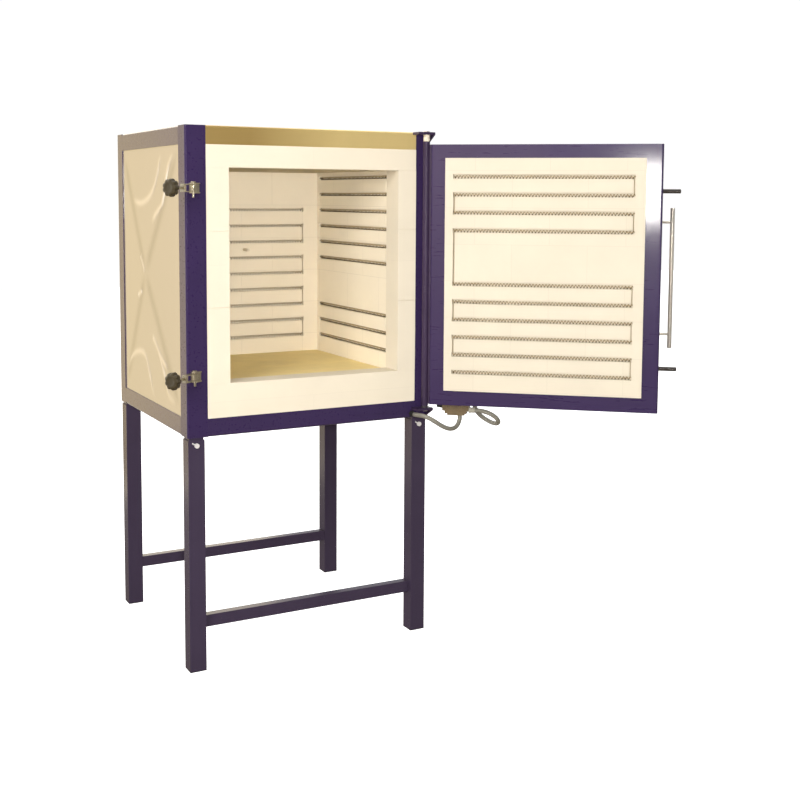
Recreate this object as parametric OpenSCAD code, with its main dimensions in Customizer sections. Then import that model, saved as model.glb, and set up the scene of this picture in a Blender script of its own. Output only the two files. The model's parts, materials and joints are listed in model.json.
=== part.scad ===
// Front-loading electric kiln on a stand, with its door open
// Origin on the floor, midway between the four feet: X to the right, Y to the back, Z up
// Casing coordinates start at the casing's front left bottom corner
// The door is drawn closed and then swung about its hinge

/* [Casing] */
// Width of the casing
body_w = 794; // [770:1:830]
// Depth of the casing
body_d = 718; // [700:1:780]
// Height of the casing
body_h = 900; // [885:1:940]
// Width of the front strip that carries the clamps
clamp_strip = 62; // [54:1:66]
// Width of the front strip that carries the hinge
hinge_strip = 46; // [40:1:56]
// Height of the strips below and above the lining
strip_h = 54; // [50:1:60]
// Width of the posts, seen from the side
post_side = 60; // [45:1:75]
// Depth of the flat legs that the rails turn inwards
rail_leg = 40; // [25:1:50]
// Thickness of the frame's steel angle
angle_t = 3; // [2:0.5:4]
// Outside radius of the angle's bend
angle_r = 6; // [5:0.5:8]
// Thickness of the casing's sheets
sheet_t = 1.2; // [0.8:0.1:2]
// Rise of the cross break in the middle of a sheet
break_h = 6; // [3:0.5:8]
// Gap left between a sheet and the bends of the frame
sheet_gap = 1; // [0.5:0.5:3]

/* [Lining] */
// How far the lining stands proud of the frame
lining_proud = 2; // [0.5:0.5:4]
// Width of the jamb on the clamp side
jamb_w = 69; // [60:1:80]
// Width of the jamb on the hinge side
hinge_jamb_w = 63; // [55:1:75]
// Height of the sill above the bottom strip
sill_h = 100; // [90:1:110]
// Height of the lintel above the mouth
lintel_h = 65; // [55:1:75]
// Depth of the plain collar behind the mouth
collar_d = 77; // [60:1:100]
// Thickness of the back wall's bricks
back_brick = 64; // [50:1:75]
// Room behind the back wall for its board and sheet
back_room = 46; // [38:1:60]
// Thickness of the floor plate
plate_t = 16; // [12:1:20]
// Drop of the floor plate below the sill
plate_drop = 4; // [2:0.5:8]
// Gap around the floor plate
plate_gap = 3; // [1:0.5:6]
// Width of the joints between bricks
joint_w = 1; // [0.8:0.2:3]
// Depth of the joints between bricks
joint_d = 1; // [0.8:0.1:3]
// Height of one jamb brick
brick_h = 222; // [150:1:250]
// Bore of the vent through the roof
vent_d = 50; // [40:1:60]
// Distance of the vent from the front of the frame
vent_y = 340; // [250:1:420]
// Gap around the bung at the top of the vent
bung_gap = 1.5; // [1:0.5:3]
// Taper of the bung on its diameter
bung_taper = 6; // [3:0.5:10]
// Overlap of the bung's head around the vent
bung_rim = 10; // [6:1:16]
// Thickness of the bung's head
bung_head = 12; // [8:1:15]

/* [Elements] */
// Drop of the top row below the chamber's ceiling
row_drop = 18; // [14:1:26]
// Drop of the door's lowest row below the top of the sill
row_low = 0.4; // [0:0.1:4]
// Outside diameter of the wound coil
coil_d = 11; // [8:0.5:13]
// Gap between the coil and the top of its groove
coil_gap = 2.4; // [1.5:0.1:3]
// Depth of the coil below the wall's face
coil_recess = 2; // [1:0.5:3]
// Gap between a piece and what it rests on
seat_gap = 0.3; // [0.2:0.05:0.4]
// Diameter of the links and tails of an element
link_d = 4; // [3.5:0.5:6]
// Distance of the wall grooves' ends from the back wall
groove_short = 14; // [10:1:30]
// Distance of the back grooves' ends from the side walls
back_short = 54; // [30:1:70]
// Gap around an element's tail in its hole
tail_gap = 0.5; // [0.3:0.1:1]
// Reach of the tails behind the back sheet
tail_reach = 26; // [22:1:34]
// Diameter of the terminal blocks
block_d = 14; // [12:1:16]
// Length of the terminal blocks
block_l = 18; // [14:1:20]
// Radial clearance of a pin or a rod in its hole
pin_clear = 0.05; // [0.02:0.01:0.08]
// Diameter of the thermocouple's sheath
probe_d = 10; // [6:1:12]
// Reach of the sheath into the chamber
probe_reach = 40; // [20:1:60]

/* [Terminal cover] */
// Depth of the cover behind the back sheet
cover_depth = 46; // [40:1:60]
// Margin of the cover around the terminals
cover_margin = 30; // [24:1:38]
// Width of a vent slot
slot_w = 6; // [4:0.5:8]
// Length of a vent slot
slot_l = 60; // [40:1:80]
// Spacing of the vent slots
slot_pitch = 24; // [16:1:30]
// Slots in each band
slot_count = 16; // [8:2:20]
// Thread diameter of the supply gland
supply_d = 24; // [20:1:28]
// Bore of the supply gland
supply_bore = 14; // [10:1:16]
// Length of the supply gland
supply_l = 30; // [24:1:40]
// Distance of the supply gland from the middle of the cover
supply_x = 180; // [100:1:220]

/* [Stand] */
// Height of the stand, from the floor to the casing
stand_h = 700; // [600:1:800]
// Side of the square legs
leg_w = 50; // [46:1:56]
// Wall of the square legs
leg_t = 2.5; // [2:0.5:3]
// Inset of the legs from the casing's faces
leg_inset = 3; // [2:0.5:8]
// Neck that shows between a leg and the casing
leg_neck = 8; // [4:1:12]
// Length of a spigot below the casing
spigot_l = 90; // [70:1:120]
// Gap around a spigot in its leg
spigot_gap = 0.5; // [0.3:0.1:1]
// Wall of the spigots
spigot_t = 3; // [2:0.5:4]
// Height of the stand's rails
stand_rail_h = 36; // [30:1:50]
// Depth of the stand's rails
stand_rail_d = 28; // [20:1:35]
// Height of the rails above the floor
stand_rail_z = 124; // [80:1:200]
// Setback of a rail from the outer face of its legs
stand_rail_in = 20; // [5:1:21]
// Distance of the leg bolts below the casing
bolt_drop = 23; // [20:1:30]
// Diameter of the leg bolts
bolt_d = 8; // [6:1:10]
// Diameter of the bolts' round heads
bolt_head_d = 14; // [12:1:18]
// Thickness of the bolts' heads
bolt_head_t = 6; // [4:0.5:8]
// Length of a bolt's bent tail
bolt_tail_l = 16; // [10:1:20]
// Diameter of a bolt's bent tail
bolt_tail_d = 4; // [3:0.5:5]
// Thickness of the foot caps
foot_t = 2; // [1:0.5:4]
// Height of a cap's plug inside the leg
foot_plug_h = 18; // [12:1:25]

/* [Door] */
// How far the door stands open
door_open = 140; // [90:1:150]
// Distance of the hinge axis from the casing's hinge side
hinge_in = 21; // [20:1:24]
// Distance of the hinge axis in front of the frame
hinge_out = 22; // [20:1:24]
// Distance of the door's edge from the hinge axis
hinge_gap = 16; // [15:1:19]
// Distance of the free edge from the casing's clamp side
free_in = 50; // [48:1:54]
// Height of the door's lower edge above the casing's bottom
door_low = 46; // [44:1:50]
// Distance of the door's upper edge below the casing's top
door_down = 38; // [38:1:44]
// Thickness of the door
door_t = 100; // [90:1:110]
// Border of the door frame on the hinge side
border_hinge = 47; // [42:1:52]
// Border of the door frame on the free side
border_free = 50; // [45:1:54]
// Border of the door frame at the top
border_top = 42; // [38:1:46]
// Border of the door frame at the bottom
border_bottom = 47; // [42:1:52]
// How far the door's lining stands proud of its frame
plug_proud = 8; // [6:0.5:10]
// Gap between the two linings with the door closed
seal_gap = 0.5; // [0.4:0.1:1]
// Thickness of the door's lining
plug_t = 60; // [50:1:66]

/* [Hinge] */
// Diameter of the hinge tube
tube_d = 22; // [20:1:24]
// Diameter of the hinge pins
pin_d = 12; // [10:1:14]
// Depth of a pin in the tube
pin_depth = 45; // [30:1:60]
// Thickness of the bracket plates
bracket_t = 8; // [6:1:10]
// Width of a bracket
bracket_w = 58; // [52:1:60]
// Reach of a bracket in front of the frame
bracket_out = 40; // [38:1:44]
// Thickness of a bracket's gusset
gusset_t = 6; // [4:0.5:7]
// Height of the upper bracket's gusset
gusset_h = 26; // [20:1:26]
// Height of the lower bracket's underside above the casing's bottom
bracket_low = 26; // [26:1:28]
// Diameter of the bushes
bush_d = 20; // [18:1:22]
// Height of the upper bush
bush_top = 20; // [14:1:22]
// Height of the lower bush
bush_low = 6; // [4:0.5:7]
// Diameter of the pin heads
pin_head_d = 20; // [16:1:22]
// Thickness of the pin heads
pin_head_t = 3; // [2:0.5:5]
// Thickness of the web between tube and door
web_t = 6; // [4:0.5:8]

/* [Clamps] */
// Height of the lower clamp above the casing's bottom
clamp_low = 181; // [160:1:200]
// Distance of the upper clamp below the casing's top
clamp_down = 179; // [160:1:200]
// Swing of the clamps out of the front plane
clamp_swing = 30; // [25:1:40]
// Distance of the clamps' pivot from the casing's side
pivot_in = 19.5; // [18:0.5:21]
// Distance of the clamps' pivot in front of the frame
pivot_out = 14; // [13:0.5:15]
// Diameter of the pivot pins
pivot_d = 6.5; // [6:0.5:9]
// Thickness of the clamps' plates
clamp_t = 3; // [2.5:0.5:4]
// Width of a yoke
yoke_w = 16; // [14:1:18]
// Gap between a yoke's arms
yoke_gap = 17; // [16:0.5:20]
// Distance of a yoke's web from its pivot
web_at = 38; // [37:0.5:42]
// Thickness of a yoke's web
yoke_web = 8; // [7:0.5:10]
// Width of a bracket's base
base_w = 30; // [24:1:32]
// Diameter of the clamp screws
screw_d = 8; // [6:0.5:9]
// Diameter of the pads
pad_d = 11; // [10:0.5:12]
// Thickness of the pads
pad_t = 4; // [3:0.5:5]
// Distance of the knob from the web
knob_stand = 31; // [28:1:40]
// Diameter of the knobs over their lobes
knob_d = 51; // [42:1:54]
// Thickness of the knobs
knob_t = 24; // [20:1:26]
// Number of lobes on a knob
knob_lobes = 9; // [6:1:10]
// Radius of one lobe
lobe_r = 6.5; // [5:0.5:7]
// Height of a knob's boss
knob_boss = 6; // [4:0.5:8]
// Diameter of the door's locking rods
rod_d = 13; // [10:0.5:14]
// Reach of the rods beyond the door's edge
rod_reach = 53; // [46:1:53]
// Chamfer on the free end of a rod
rod_chamfer = 2; // [1:0.5:4]
// Length of a rod inside the door
rod_root = 24; // [18:1:30]
// Distance of the rods in front of the frame
rod_out = 38; // [36:1:39]

/* [Handle] */
// Diameter of the handle's bar
bar_d = 14; // [12:1:18]
// Length of the handle's bar
bar_l = 430; // [350:1:460]
// Height of the bar's lower end above the casing's bottom
bar_low = 240; // [220:1:260]
// Distance of the bar from the door's edge
bar_out = 31; // [28:1:40]
// Distance of the bar in front of the frame
bar_front = 85; // [70:1:90]
// Diameter of the handle's posts
post_d = 8; // [6:1:10]
// Distance of a post from the bar's end
post_end = 43; // [30:1:60]

/* [Door cable] */
// Diameter of the cable
cable_d = 14; // [12:0.5:14.5]
// Thread diameter of the body's cable gland
gland_d = 18; // [17:0.5:19]
// Reach of the body's cable gland
gland_l = 18; // [16:1:20]
// Distance of the gland from the casing's hinge side
gland_in = 56; // [54:1:60]
// Height of the gland above the casing's bottom
gland_z = 13; // [12:0.5:14]
// Length of the connector under the door
plug_l = 85; // [80:1:90]
// Width of the connector under the door
plug_w = 36; // [34:1:40]
// Height of the connector under the door
plug_h = 39; // [39:1:42]
// Distance of the connector from the door's hinge edge
plug_at = 37; // [34:1:40]
// Distance of the connector in front of the frame
plug_front = 60; // [58:1:62]
// Spacing of the connector's ribs
rib_pitch = 6; // [5:0.5:8]
// Depth of the grooves between the ribs
rib_depth = 1.5; // [1:0.25:2]
// Length of the connector's boot
boot_l = 20; // [16:1:22]

/* [Hidden] */

$fn = 16;
// Overrun of a cut past the face that it opens
cut = 1;
// Lining and chamber, in casing coordinates
lin_x0 = clamp_strip;
lin_x1 = body_w - hinge_strip;
lin_z0 = strip_h;
lin_z1 = body_h - strip_h;
ch_x0 = lin_x0 + jamb_w;
ch_x1 = lin_x1 - hinge_jamb_w;
ch_z0 = lin_z0 + sill_h;
ch_z1 = lin_z1 - lintel_h;
ch_mid = (ch_x0 + ch_x1) / 2;
back_y1 = body_d - back_room;
chamber_d = back_y1 - back_brick;
plate_z0 = ch_z0 - plate_drop - plate_t;
// Room that the frame's bends leave for sheets and boards
sheet_in = angle_r + sheet_gap;
break_in = 4;
board_gap = 1;
back_face = body_d - angle_t;
roof_face = body_h - angle_t;

// Element rows, counted from the top of the chamber
row_count = 12;
row_pitch = (ch_z1 - row_drop - ch_z0 + row_low) / (row_count - 1);
side_rows = [1, 2, 3, 4, 5, 6, 9, 10, 11];
side_links = [[1, 2, 0], [2, 3, 1], [3, 4, 0], [4, 5, 1], [5, 6, 0], [9, 10, 0], [10, 11, 1]];
side_tails = [1, 6, 9];
back_rows = [3 : 11];
back_links = [for (i = [3 : 10]) [i, i + 1, i % 2 == 0 ? 1 : 0]];
door_rows = [1, 2, 3, 4, 7, 8, 9, 10, 11, 12];
door_links = [[1, 2, 0], [2, 3, 1], [3, 4, 0], [4, 7, 1], [7, 8, 0], [8, 9, 1], [9, 10, 0],
              [10, 11, 1], [11, 12, 0]];
groove_w = coil_d + coil_gap + seat_gap;
groove_d = coil_recess + coil_d + seat_gap;
coil_depth = coil_recess + coil_d / 2;
link_w = link_d + 2 * seat_gap;
link_depth = coil_depth + link_d / 2 + seat_gap;
tail_hole = link_d + 2 * tail_gap;
tail_end = back_face + tail_reach;
tail_in = seat_gap + coil_d / 2;
lead_l = 40;
side_s0 = collar_d;
side_s1 = chamber_d - groove_short;
back_s0 = ch_x0 + back_short;
back_s1 = ch_x1 - back_short;
function row_z(i) = ch_z1 - row_drop - (i - 1) * row_pitch;
function coil_z(i) = row_z(i) - groove_w / 2 + seat_gap + coil_d / 2;
link_edge = 1.5;
link_in = link_w / 2 + link_edge;
function link_s(l, s0, s1) = l[2] == 0 ? s0 + link_in : s1 - link_in;
back_tails = [[back_s1 - tail_in, coil_z(3)], [back_s0 + tail_in, coil_z(11)]];
wall_tails = [for (x = [ch_x0 - coil_depth, ch_x1 + coil_depth]) for (i = side_tails) [x, coil_z(i)]];
tails = concat(wall_tails, back_tails);
probe_z = (row_z(5) + row_z(6)) / 2;
probe_head_d = 2 * probe_d;
probe_head_l = 20;

// Terminal cover, in casing coordinates
cover_x0 = ch_x0 - coil_depth - cover_margin;
cover_x1 = ch_x1 + coil_depth + cover_margin;
cover_z0 = row_z(11) - cover_margin;
cover_z1 = row_z(1) + cover_margin;
cover_t = 1.5;
supply_y = back_face + cover_depth / 2;

// Door, drawn closed in casing coordinates
hinge_x = body_w - hinge_in;
door_x0 = free_in;
door_x1 = hinge_x - hinge_gap;
door_z0 = door_low;
door_z1 = body_h - door_down;
door_in = lining_proud + seal_gap + plug_proud;
door_out = door_in + door_t;
plug_x0 = door_x0 + border_free;
plug_x1 = door_x1 - border_hinge;
plug_z0 = door_z0 + border_bottom;
plug_z1 = door_z1 - border_top;
plug_face = door_in - plug_proud;
plug_back = plug_face + plug_t;
door_tails = [for (i = [1, 12]) [ch_x1 - tail_in, coil_z(i)]];
bar_x = door_x0 - bar_out;
bar_posts = [bar_low + post_end, bar_low + bar_l - post_end];

// Hinge, in casing coordinates
hinge_low_z = bracket_low + bracket_t;
hinge_high_z = body_h - bracket_t;
tube_z0 = hinge_low_z + bush_low + seat_gap;
tube_z1 = hinge_high_z - bush_top - seat_gap;
pin_hole = pin_d + 2 * pin_clear;
tube_wall_lap = 2;

// Clamps, along a yoke from its pivot
clamp_high = body_h - clamp_down;
clamp_heights = [clamp_low, clamp_high];
arm_z = yoke_gap / 2 + clamp_t;
flange_z = arm_z + seat_gap;
bracket_z = flange_z + clamp_t;
base_right = 22;
ear_r = yoke_w / 2;
ear_side = 5;
knuckle_in = 1;
pivot_hole = pivot_d + 2 * pin_clear;
pivot_head_d = 13;
pivot_head_t = 4;
pivot_tail = 12;
screw_hole = screw_d + 2 * pin_clear;
screw_tip_d = 5;
screw_tip_l = 2.5;
pad_room = 1;
knob_at = web_at + yoke_web + knob_stand;
screw_in_knob = 14;
knob_cap_d = 22;
knob_cap_t = 2;

// Connector under the door, drawn closed in casing coordinates
conn_x1 = door_x1 - plug_at;
conn_x0 = conn_x1 - plug_l;
conn_mid = (conn_x0 + conn_x1) / 2;
// Steps of the connector: share of its height, share of its length and width
conn_steps = [[0.62, 1], [0.85, 0.82], [1, 0.64]];
rib_margin = 3;
conn_rib_h = plug_h * conn_steps[0][0] - 2 * rib_margin;
conn_ribs = floor((plug_l / 2 - rib_pitch) / rib_pitch);
boot_d = 14;
boot_tip_d = 8;
boot_drop = 12;
boot_z = door_z0 - boot_drop;
cable_sides = 8;

// Cable from the casing's gland to the connector, measured from the gland with the door open
door_run = [[0, -4, 0], [0, -17, 0], [0, -29, 0], [4.6, -43.8, 1.2], [13.5, -57.3, 0.3], [25, -68.1, -4.9],
            [36.8, -74.7, -12.7], [49.4, -78.5, -21.7], [62.8, -79.8, -30.5], [77.5, -79.4, -38.3],
            [93.2, -77.4, -44.1], [109.6, -73.7, -46.2], [124.8, -68.5, -42.9], [137, -63.2, -33.3],
            [143, -60, -20.3], [143, -60, -6.3]];
door_route = [for (p = door_run) p + [body_w - gland_in, 0, gland_z]];
// Cable from the connector back into the door, measured from the closed door's lower hinge corner
return_run = [[-122, -50, -20], [-136, -50, -20], [-151.5, -48.2, -20], [-167.8, -45.5, -21],
              [-184.7, -44.1, -24.8], [-199.8, -46.1, -32.3], [-211.3, -52.8, -43], [-216.4, -64, -54.6],
              [-213.4, -77.7, -64.1], [-203.1, -90.6, -68.6], [-188.3, -99.7, -66.6], [-173.7, -103.1, -60.5],
              [-160.1, -102.1, -52], [-148.5, -98.1, -41.8], [-139.9, -93.3, -29.6], [-135, -90, -15],
              [-135, -90, 0]];
return_route = [for (p = return_run) p + [door_x1, 0, door_z0]];

// Places the casing above the stand
module in_casing() {
    translate([-body_w / 2, -body_d / 2, stand_h]) children();
}

// Swings the door about its hinge
module in_door() {
    in_casing() translate([hinge_x, -hinge_out, 0]) rotate([0, 0, door_open])
        translate([-hinge_x, hinge_out, 0]) children();
}

// Places a clamp piece, drawn along X from the pivot, at a height
module in_clamp(z) {
    in_casing() translate([pivot_in, -pivot_out, z]) rotate([0, 0, 180 + clamp_swing]) children();
}

// Box between two corners
module block(low, high) {
    translate(low) cube(high - low);
}

// Round bar along X or Y
module bar_along_x(d, l) {
    rotate([0, 90, 0]) cylinder(d = d, h = l);
}
module bar_along_y(d, l) {
    rotate([-90, 0, 0]) cylinder(d = d, h = l);
}

// Rectangle with round corners
module rounded_plan(w, d, r) {
    translate([r, 0]) square([w - 2 * r, d]);
    translate([0, r]) square([w, d - 2 * r]);
    for (x = [r, w - r])
        for (y = [r, d - r]) translate([x, y]) circle(r);
}

// Angle section with its bend at the origin, one leg along each axis
module angle_profile(a, b) {
    translate([angle_r, 0]) square([a - angle_r, angle_t]);
    translate([0, angle_r]) square([angle_t, b - angle_r]);
    intersection() {
        square(angle_r);
        translate([angle_r, angle_r]) difference() {
            circle(angle_r);
            circle(angle_r - angle_t);
        }
    }
}

// Upright post of angle section
module post(front, side) {
    linear_extrude(body_h) angle_profile(front, side);
}

// Level rail of angle section along X, one leg turned inwards and one standing
module rail(l) {
    rotate([90, 0, 90]) linear_extrude(l) angle_profile(rail_leg, strip_h);
}

// Thin sheet in the XY plane with a shallow pyramid raised inside its borders
module cross_broken_sheet(w, h, low, high) {
    mid = (low + high) / 2;
    border = [[0, 0], [w, 0], [w, h], [0, h]];
    window = [low, [high[0], low[1]], high, [low[0], high[1]]];
    rim = concat(border, window);
    points = concat([for (p = rim) [p[0], p[1], 0]], [[mid[0], mid[1], break_h]],
                    [for (p = rim) [p[0], p[1], sheet_t]], [[mid[0], mid[1], break_h + sheet_t]]);
    inner = [for (k = [0 : 3]) let (n = (k + 1) % 4) each [[k, n, 4 + n, 4 + k], [4 + k, 4 + n, 8]]];
    outer = [for (k = [0 : 3]) let (n = (k + 1) % 4) each [[9 + k, 13 + k, 13 + n, 9 + n],
                                                            [13 + k, 17, 13 + n]]];
    edges = [for (k = [0 : 3]) let (n = (k + 1) % 4) [k, 9 + k, 9 + n, n]];
    polyhedron(points, concat(inner, outer, edges));
}

// Grooves for element rows and their links: X along the rows, Y into the wall
module row_grooves(rows, links, s0, s1) {
    for (i = rows)
        translate([s0, -cut, row_z(i) - groove_w / 2]) cube([s1 - s0, groove_d + cut, groove_w]);
    for (l = links)
        translate([link_s(l, s0, s1) - link_w / 2, -cut, row_z(l[1])])
            cube([link_w, link_depth + cut, row_z(l[0]) - row_z(l[1])]);
}

// Lead from the front end of the lowest side row, turned into the wall
module side_lead(d) {
    translate([side_s0 + tail_in, coil_depth, coil_z(11)]) bar_along_y(d, lead_l);
}

// Element rows and their links, as rods of the coil's outside diameter
module row_coils(rows, links, s0, s1) {
    for (i = rows)
        translate([s0 + seat_gap, coil_depth, coil_z(i)]) bar_along_x(coil_d, s1 - s0 - 2 * seat_gap);
    for (l = links)
        translate([link_s(l, s0, s1), coil_depth, coil_z(l[1])])
            cylinder(d = link_d, h = coil_z(l[0]) - coil_z(l[1]));
}

// Turns wall pieces, drawn facing forwards, onto the chamber's sides
module on_left_wall() {
    translate([ch_x0, 0, 0]) rotate([0, 0, 90]) children();
}
module on_right_wall() {
    translate([ch_x1, 0, 0]) mirror([1, 0, 0]) rotate([0, 0, 90]) children();
}

// Holes for the tails and the thermocouple, from one depth to another
module back_holes(from, to) {
    for (p = tails) translate([p[0], from, p[1]]) bar_along_y(tail_hole, to - from);
    translate([ch_mid, from, probe_z]) bar_along_y(probe_d + 2 * tail_gap, to - from);
}

// Joints scored into a brick face that looks forwards
module scored_joints(x0, x1, z0, z1) {
    for (z = [z0 + brick_h : brick_h : z1 - brick_h / 4])
        block([x0 - cut, -lining_proud - cut, z - joint_w / 2],
              [x1 + cut, joint_d - lining_proud, z + joint_w / 2]);
}

// Cable gland along Z, with a hexagon and a dome nut
module gland(d, bore, l) {
    difference() {
        union() {
            cylinder(d = 1.12 * d, h = l * 0.3, $fn = 6);
            cylinder(d = 0.9 * d, h = l * 0.75);
            translate([0, 0, l * 0.75]) cylinder(d1 = 0.9 * d, d2 = bore + 1, h = l * 0.25);
        }
        translate([0, 0, -cut]) cylinder(d = bore, h = l + 2 * cut);
    }
}

// Round tube swept along a route: rings square to the run, joined by triangles
function unit(v) = v / norm(v);
function heading(r, i) = unit(r[min(i + 1, len(r) - 1)] - r[max(i - 1, 0)]);
function across(t, n) = unit(n - (n * t) * t);
function ring_axes(r, i = 0, n = [0, 0, 1], out = []) =
    i == len(r) ? out :
    let (a = across(heading(r, i), n)) ring_axes(r, i + 1, a, concat(out, [a]));
module swept_tube(r, d, start_axis) {
    axes = ring_axes(r, 0, start_axis);
    n = cable_sides;
    points = [for (i = [0 : len(r) - 1]) let (a = axes[i], b = cross(heading(r, i), a))
              for (k = [0 : n - 1]) r[i] + d / 2 * (cos(360 * k / n) * a + sin(360 * k / n) * b)];
    last = (len(r) - 1) * n;
    walls = [for (i = [0 : len(r) - 2]) for (k = [0 : n - 1]) let (m = (k + 1) % n)
             each [[i * n + k, (i + 1) * n + k, (i + 1) * n + m], [i * n + k, (i + 1) * n + m, i * n + m]]];
    ends = [[for (k = [0 : n - 1]) k], [for (k = [n - 1 : -1 : 0]) last + k]];
    polyhedron(points, concat(walls, ends));
}

// Casing frame
module front_left_post() {
    color("#413a5f") in_casing() post(clamp_strip, post_side);
}
module front_right_post() {
    color("#413a5f") in_casing() translate([body_w, 0, 0]) mirror([1, 0, 0]) post(hinge_strip, post_side);
}
module rear_posts() {
    color("#413a5f") in_casing() {
        translate([0, body_d, 0]) mirror([0, 1, 0]) post(post_side, post_side);
        translate([body_w, body_d, 0]) mirror([1, 0, 0]) mirror([0, 1, 0]) post(post_side, post_side);
    }
}

// Rails along both sides and the back, set out at the bottom
module side_and_back_rails() {
    translate([0, body_d - post_side, 0]) rotate([0, 0, -90]) rail(body_d - 2 * post_side);
    translate([body_w, post_side, 0]) rotate([0, 0, 90]) rail(body_d - 2 * post_side);
    translate([post_side, body_d, 0]) mirror([0, 1, 0]) rail(body_w - 2 * post_side);
}
module casing_rails() {
    color("#413a5f") in_casing() {
        difference() {
            translate([lin_x0, 0, 0]) rail(lin_x1 - lin_x0);
            translate([body_w - gland_in, -cut, gland_z]) bar_along_y(cable_d, angle_t + 2 * cut);
            block([body_w - leg_inset - leg_w, angle_r, -cut], [body_w, rail_leg + cut, angle_t + cut]);
        }
        side_and_back_rails();
        translate([0, 0, body_h]) mirror([0, 0, 1]) side_and_back_rails();
    }
}
module front_fascia() {
    color("#b49650") in_casing() translate([lin_x0, 0, body_h]) mirror([0, 0, 1]) rail(lin_x1 - lin_x0);
}

// Casing sheets
module side_sheet() {
    cross_broken_sheet(body_d - 2 * sheet_in, body_h - 2 * sheet_in,
                       [post_side + break_in - sheet_in, strip_h + break_in - sheet_in],
                       [body_d - post_side - break_in - sheet_in, body_h - strip_h - break_in - sheet_in]);
}
module left_panel() {
    color("#e1d0af") in_casing() translate([angle_t + sheet_t, body_d - sheet_in, sheet_in])
        rotate([90, 0, -90]) side_sheet();
}
module right_panel() {
    color("#e1d0af") in_casing() translate([body_w - angle_t - sheet_t, sheet_in, sheet_in])
        rotate([90, 0, 90]) side_sheet();
}
module back_panel() {
    color("#cfc6b4") in_casing() difference() {
        block([sheet_in, back_face - sheet_t, sheet_in], [body_w - sheet_in, back_face, body_h - sheet_in]);
        back_holes(back_face - sheet_t - cut, back_face + cut);
    }
}
module roof_panel() {
    color("#cfc6b4") in_casing() difference() {
        block([sheet_in, sheet_in, roof_face - sheet_t], [body_w - sheet_in, body_d - sheet_in, roof_face]);
        translate([ch_mid, vent_y, roof_face - sheet_t - cut]) cylinder(d = vent_d, h = sheet_t + 2 * cut);
    }
}
module base_panel() {
    color("#8f8a80") in_casing()
        block([sheet_in, sheet_in, angle_t], [body_w - sheet_in, body_d - sheet_in, angle_t + sheet_t]);
}

// Lining around the mouth
module jambs() {
    color("#fff7e1") in_casing() for (x = [[lin_x0, ch_x0], [ch_x1, lin_x1]]) difference() {
        block([x[0], -lining_proud, ch_z0], [x[1], collar_d, ch_z1]);
        scored_joints(x[0], x[1], ch_z0, ch_z1);
    }
}
module sill() {
    color("#fff7e1") in_casing() block([lin_x0, -lining_proud, lin_z0], [lin_x1, collar_d, ch_z0]);
}
module lintel() {
    color("#fff7e1") in_casing() block([lin_x0, -lining_proud, ch_z1], [lin_x1, collar_d, lin_z1]);
}

// Lining of the chamber
module left_wall() {
    color("#fbf0d6") in_casing() difference() {
        block([lin_x0, collar_d, plate_z0], [ch_x0, chamber_d, ch_z1]);
        on_left_wall() row_grooves(side_rows, side_links, side_s0, side_s1);
        on_left_wall() side_lead(tail_hole);
        back_holes(side_s1 - cut, chamber_d + cut);
    }
}
module right_wall() {
    color("#fbf0d6") in_casing() difference() {
        block([ch_x1, collar_d, plate_z0], [lin_x1, chamber_d, ch_z1]);
        on_right_wall() row_grooves(side_rows, side_links, side_s0, side_s1);
        on_right_wall() side_lead(tail_hole);
        back_holes(side_s1 - cut, chamber_d + cut);
    }
}
module back_wall() {
    color("#fbf0d6") in_casing() difference() {
        block([lin_x0, chamber_d, lin_z0], [lin_x1, back_y1, lin_z1]);
        translate([0, chamber_d, 0]) row_grooves(back_rows, back_links, back_s0, back_s1);
        back_holes(chamber_d - cut, back_y1 + cut);
    }
}
module chamber_roof() {
    color("#fbf0d6") in_casing() difference() {
        block([lin_x0, collar_d, ch_z1], [lin_x1, chamber_d, lin_z1]);
        translate([ch_mid, vent_y, ch_z1 - cut]) cylinder(d = vent_d, h = lin_z1 - ch_z1 + 2 * cut);
    }
}
module chamber_floor() {
    color("#fbf0d6") in_casing() block([lin_x0, collar_d, lin_z0], [lin_x1, chamber_d, plate_z0]);
}
module backing_boards() {
    x0 = lin_x0 + board_gap;
    x1 = lin_x1 - board_gap;
    color("#d9d2c4") in_casing() {
        block([angle_r, angle_r, angle_r], [lin_x0, body_d - angle_r, body_h - angle_r]);
        block([lin_x1, angle_r, angle_r], [body_w - angle_r, body_d - angle_r, body_h - angle_r]);
        block([x0, angle_r, angle_r], [x1, back_y1 - board_gap, lin_z0]);
        difference() {
            block([x0, angle_r, lin_z1], [x1, back_y1 - board_gap, body_h - angle_r]);
            translate([ch_mid, vent_y, lin_z1 - cut]) cylinder(d = vent_d, h = body_h - lin_z1);
        }
        difference() {
            block([x0, back_y1, angle_r], [x1, body_d - angle_r, body_h - angle_r]);
            back_holes(back_y1 - cut, body_d);
        }
    }
}
module floor_plate() {
    color("#bea05f") in_casing()
        block([ch_x0 + plate_gap, collar_d + plate_gap, plate_z0],
              [ch_x1 - plate_gap, chamber_d - plate_gap, plate_z0 + plate_t]);
}

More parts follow.
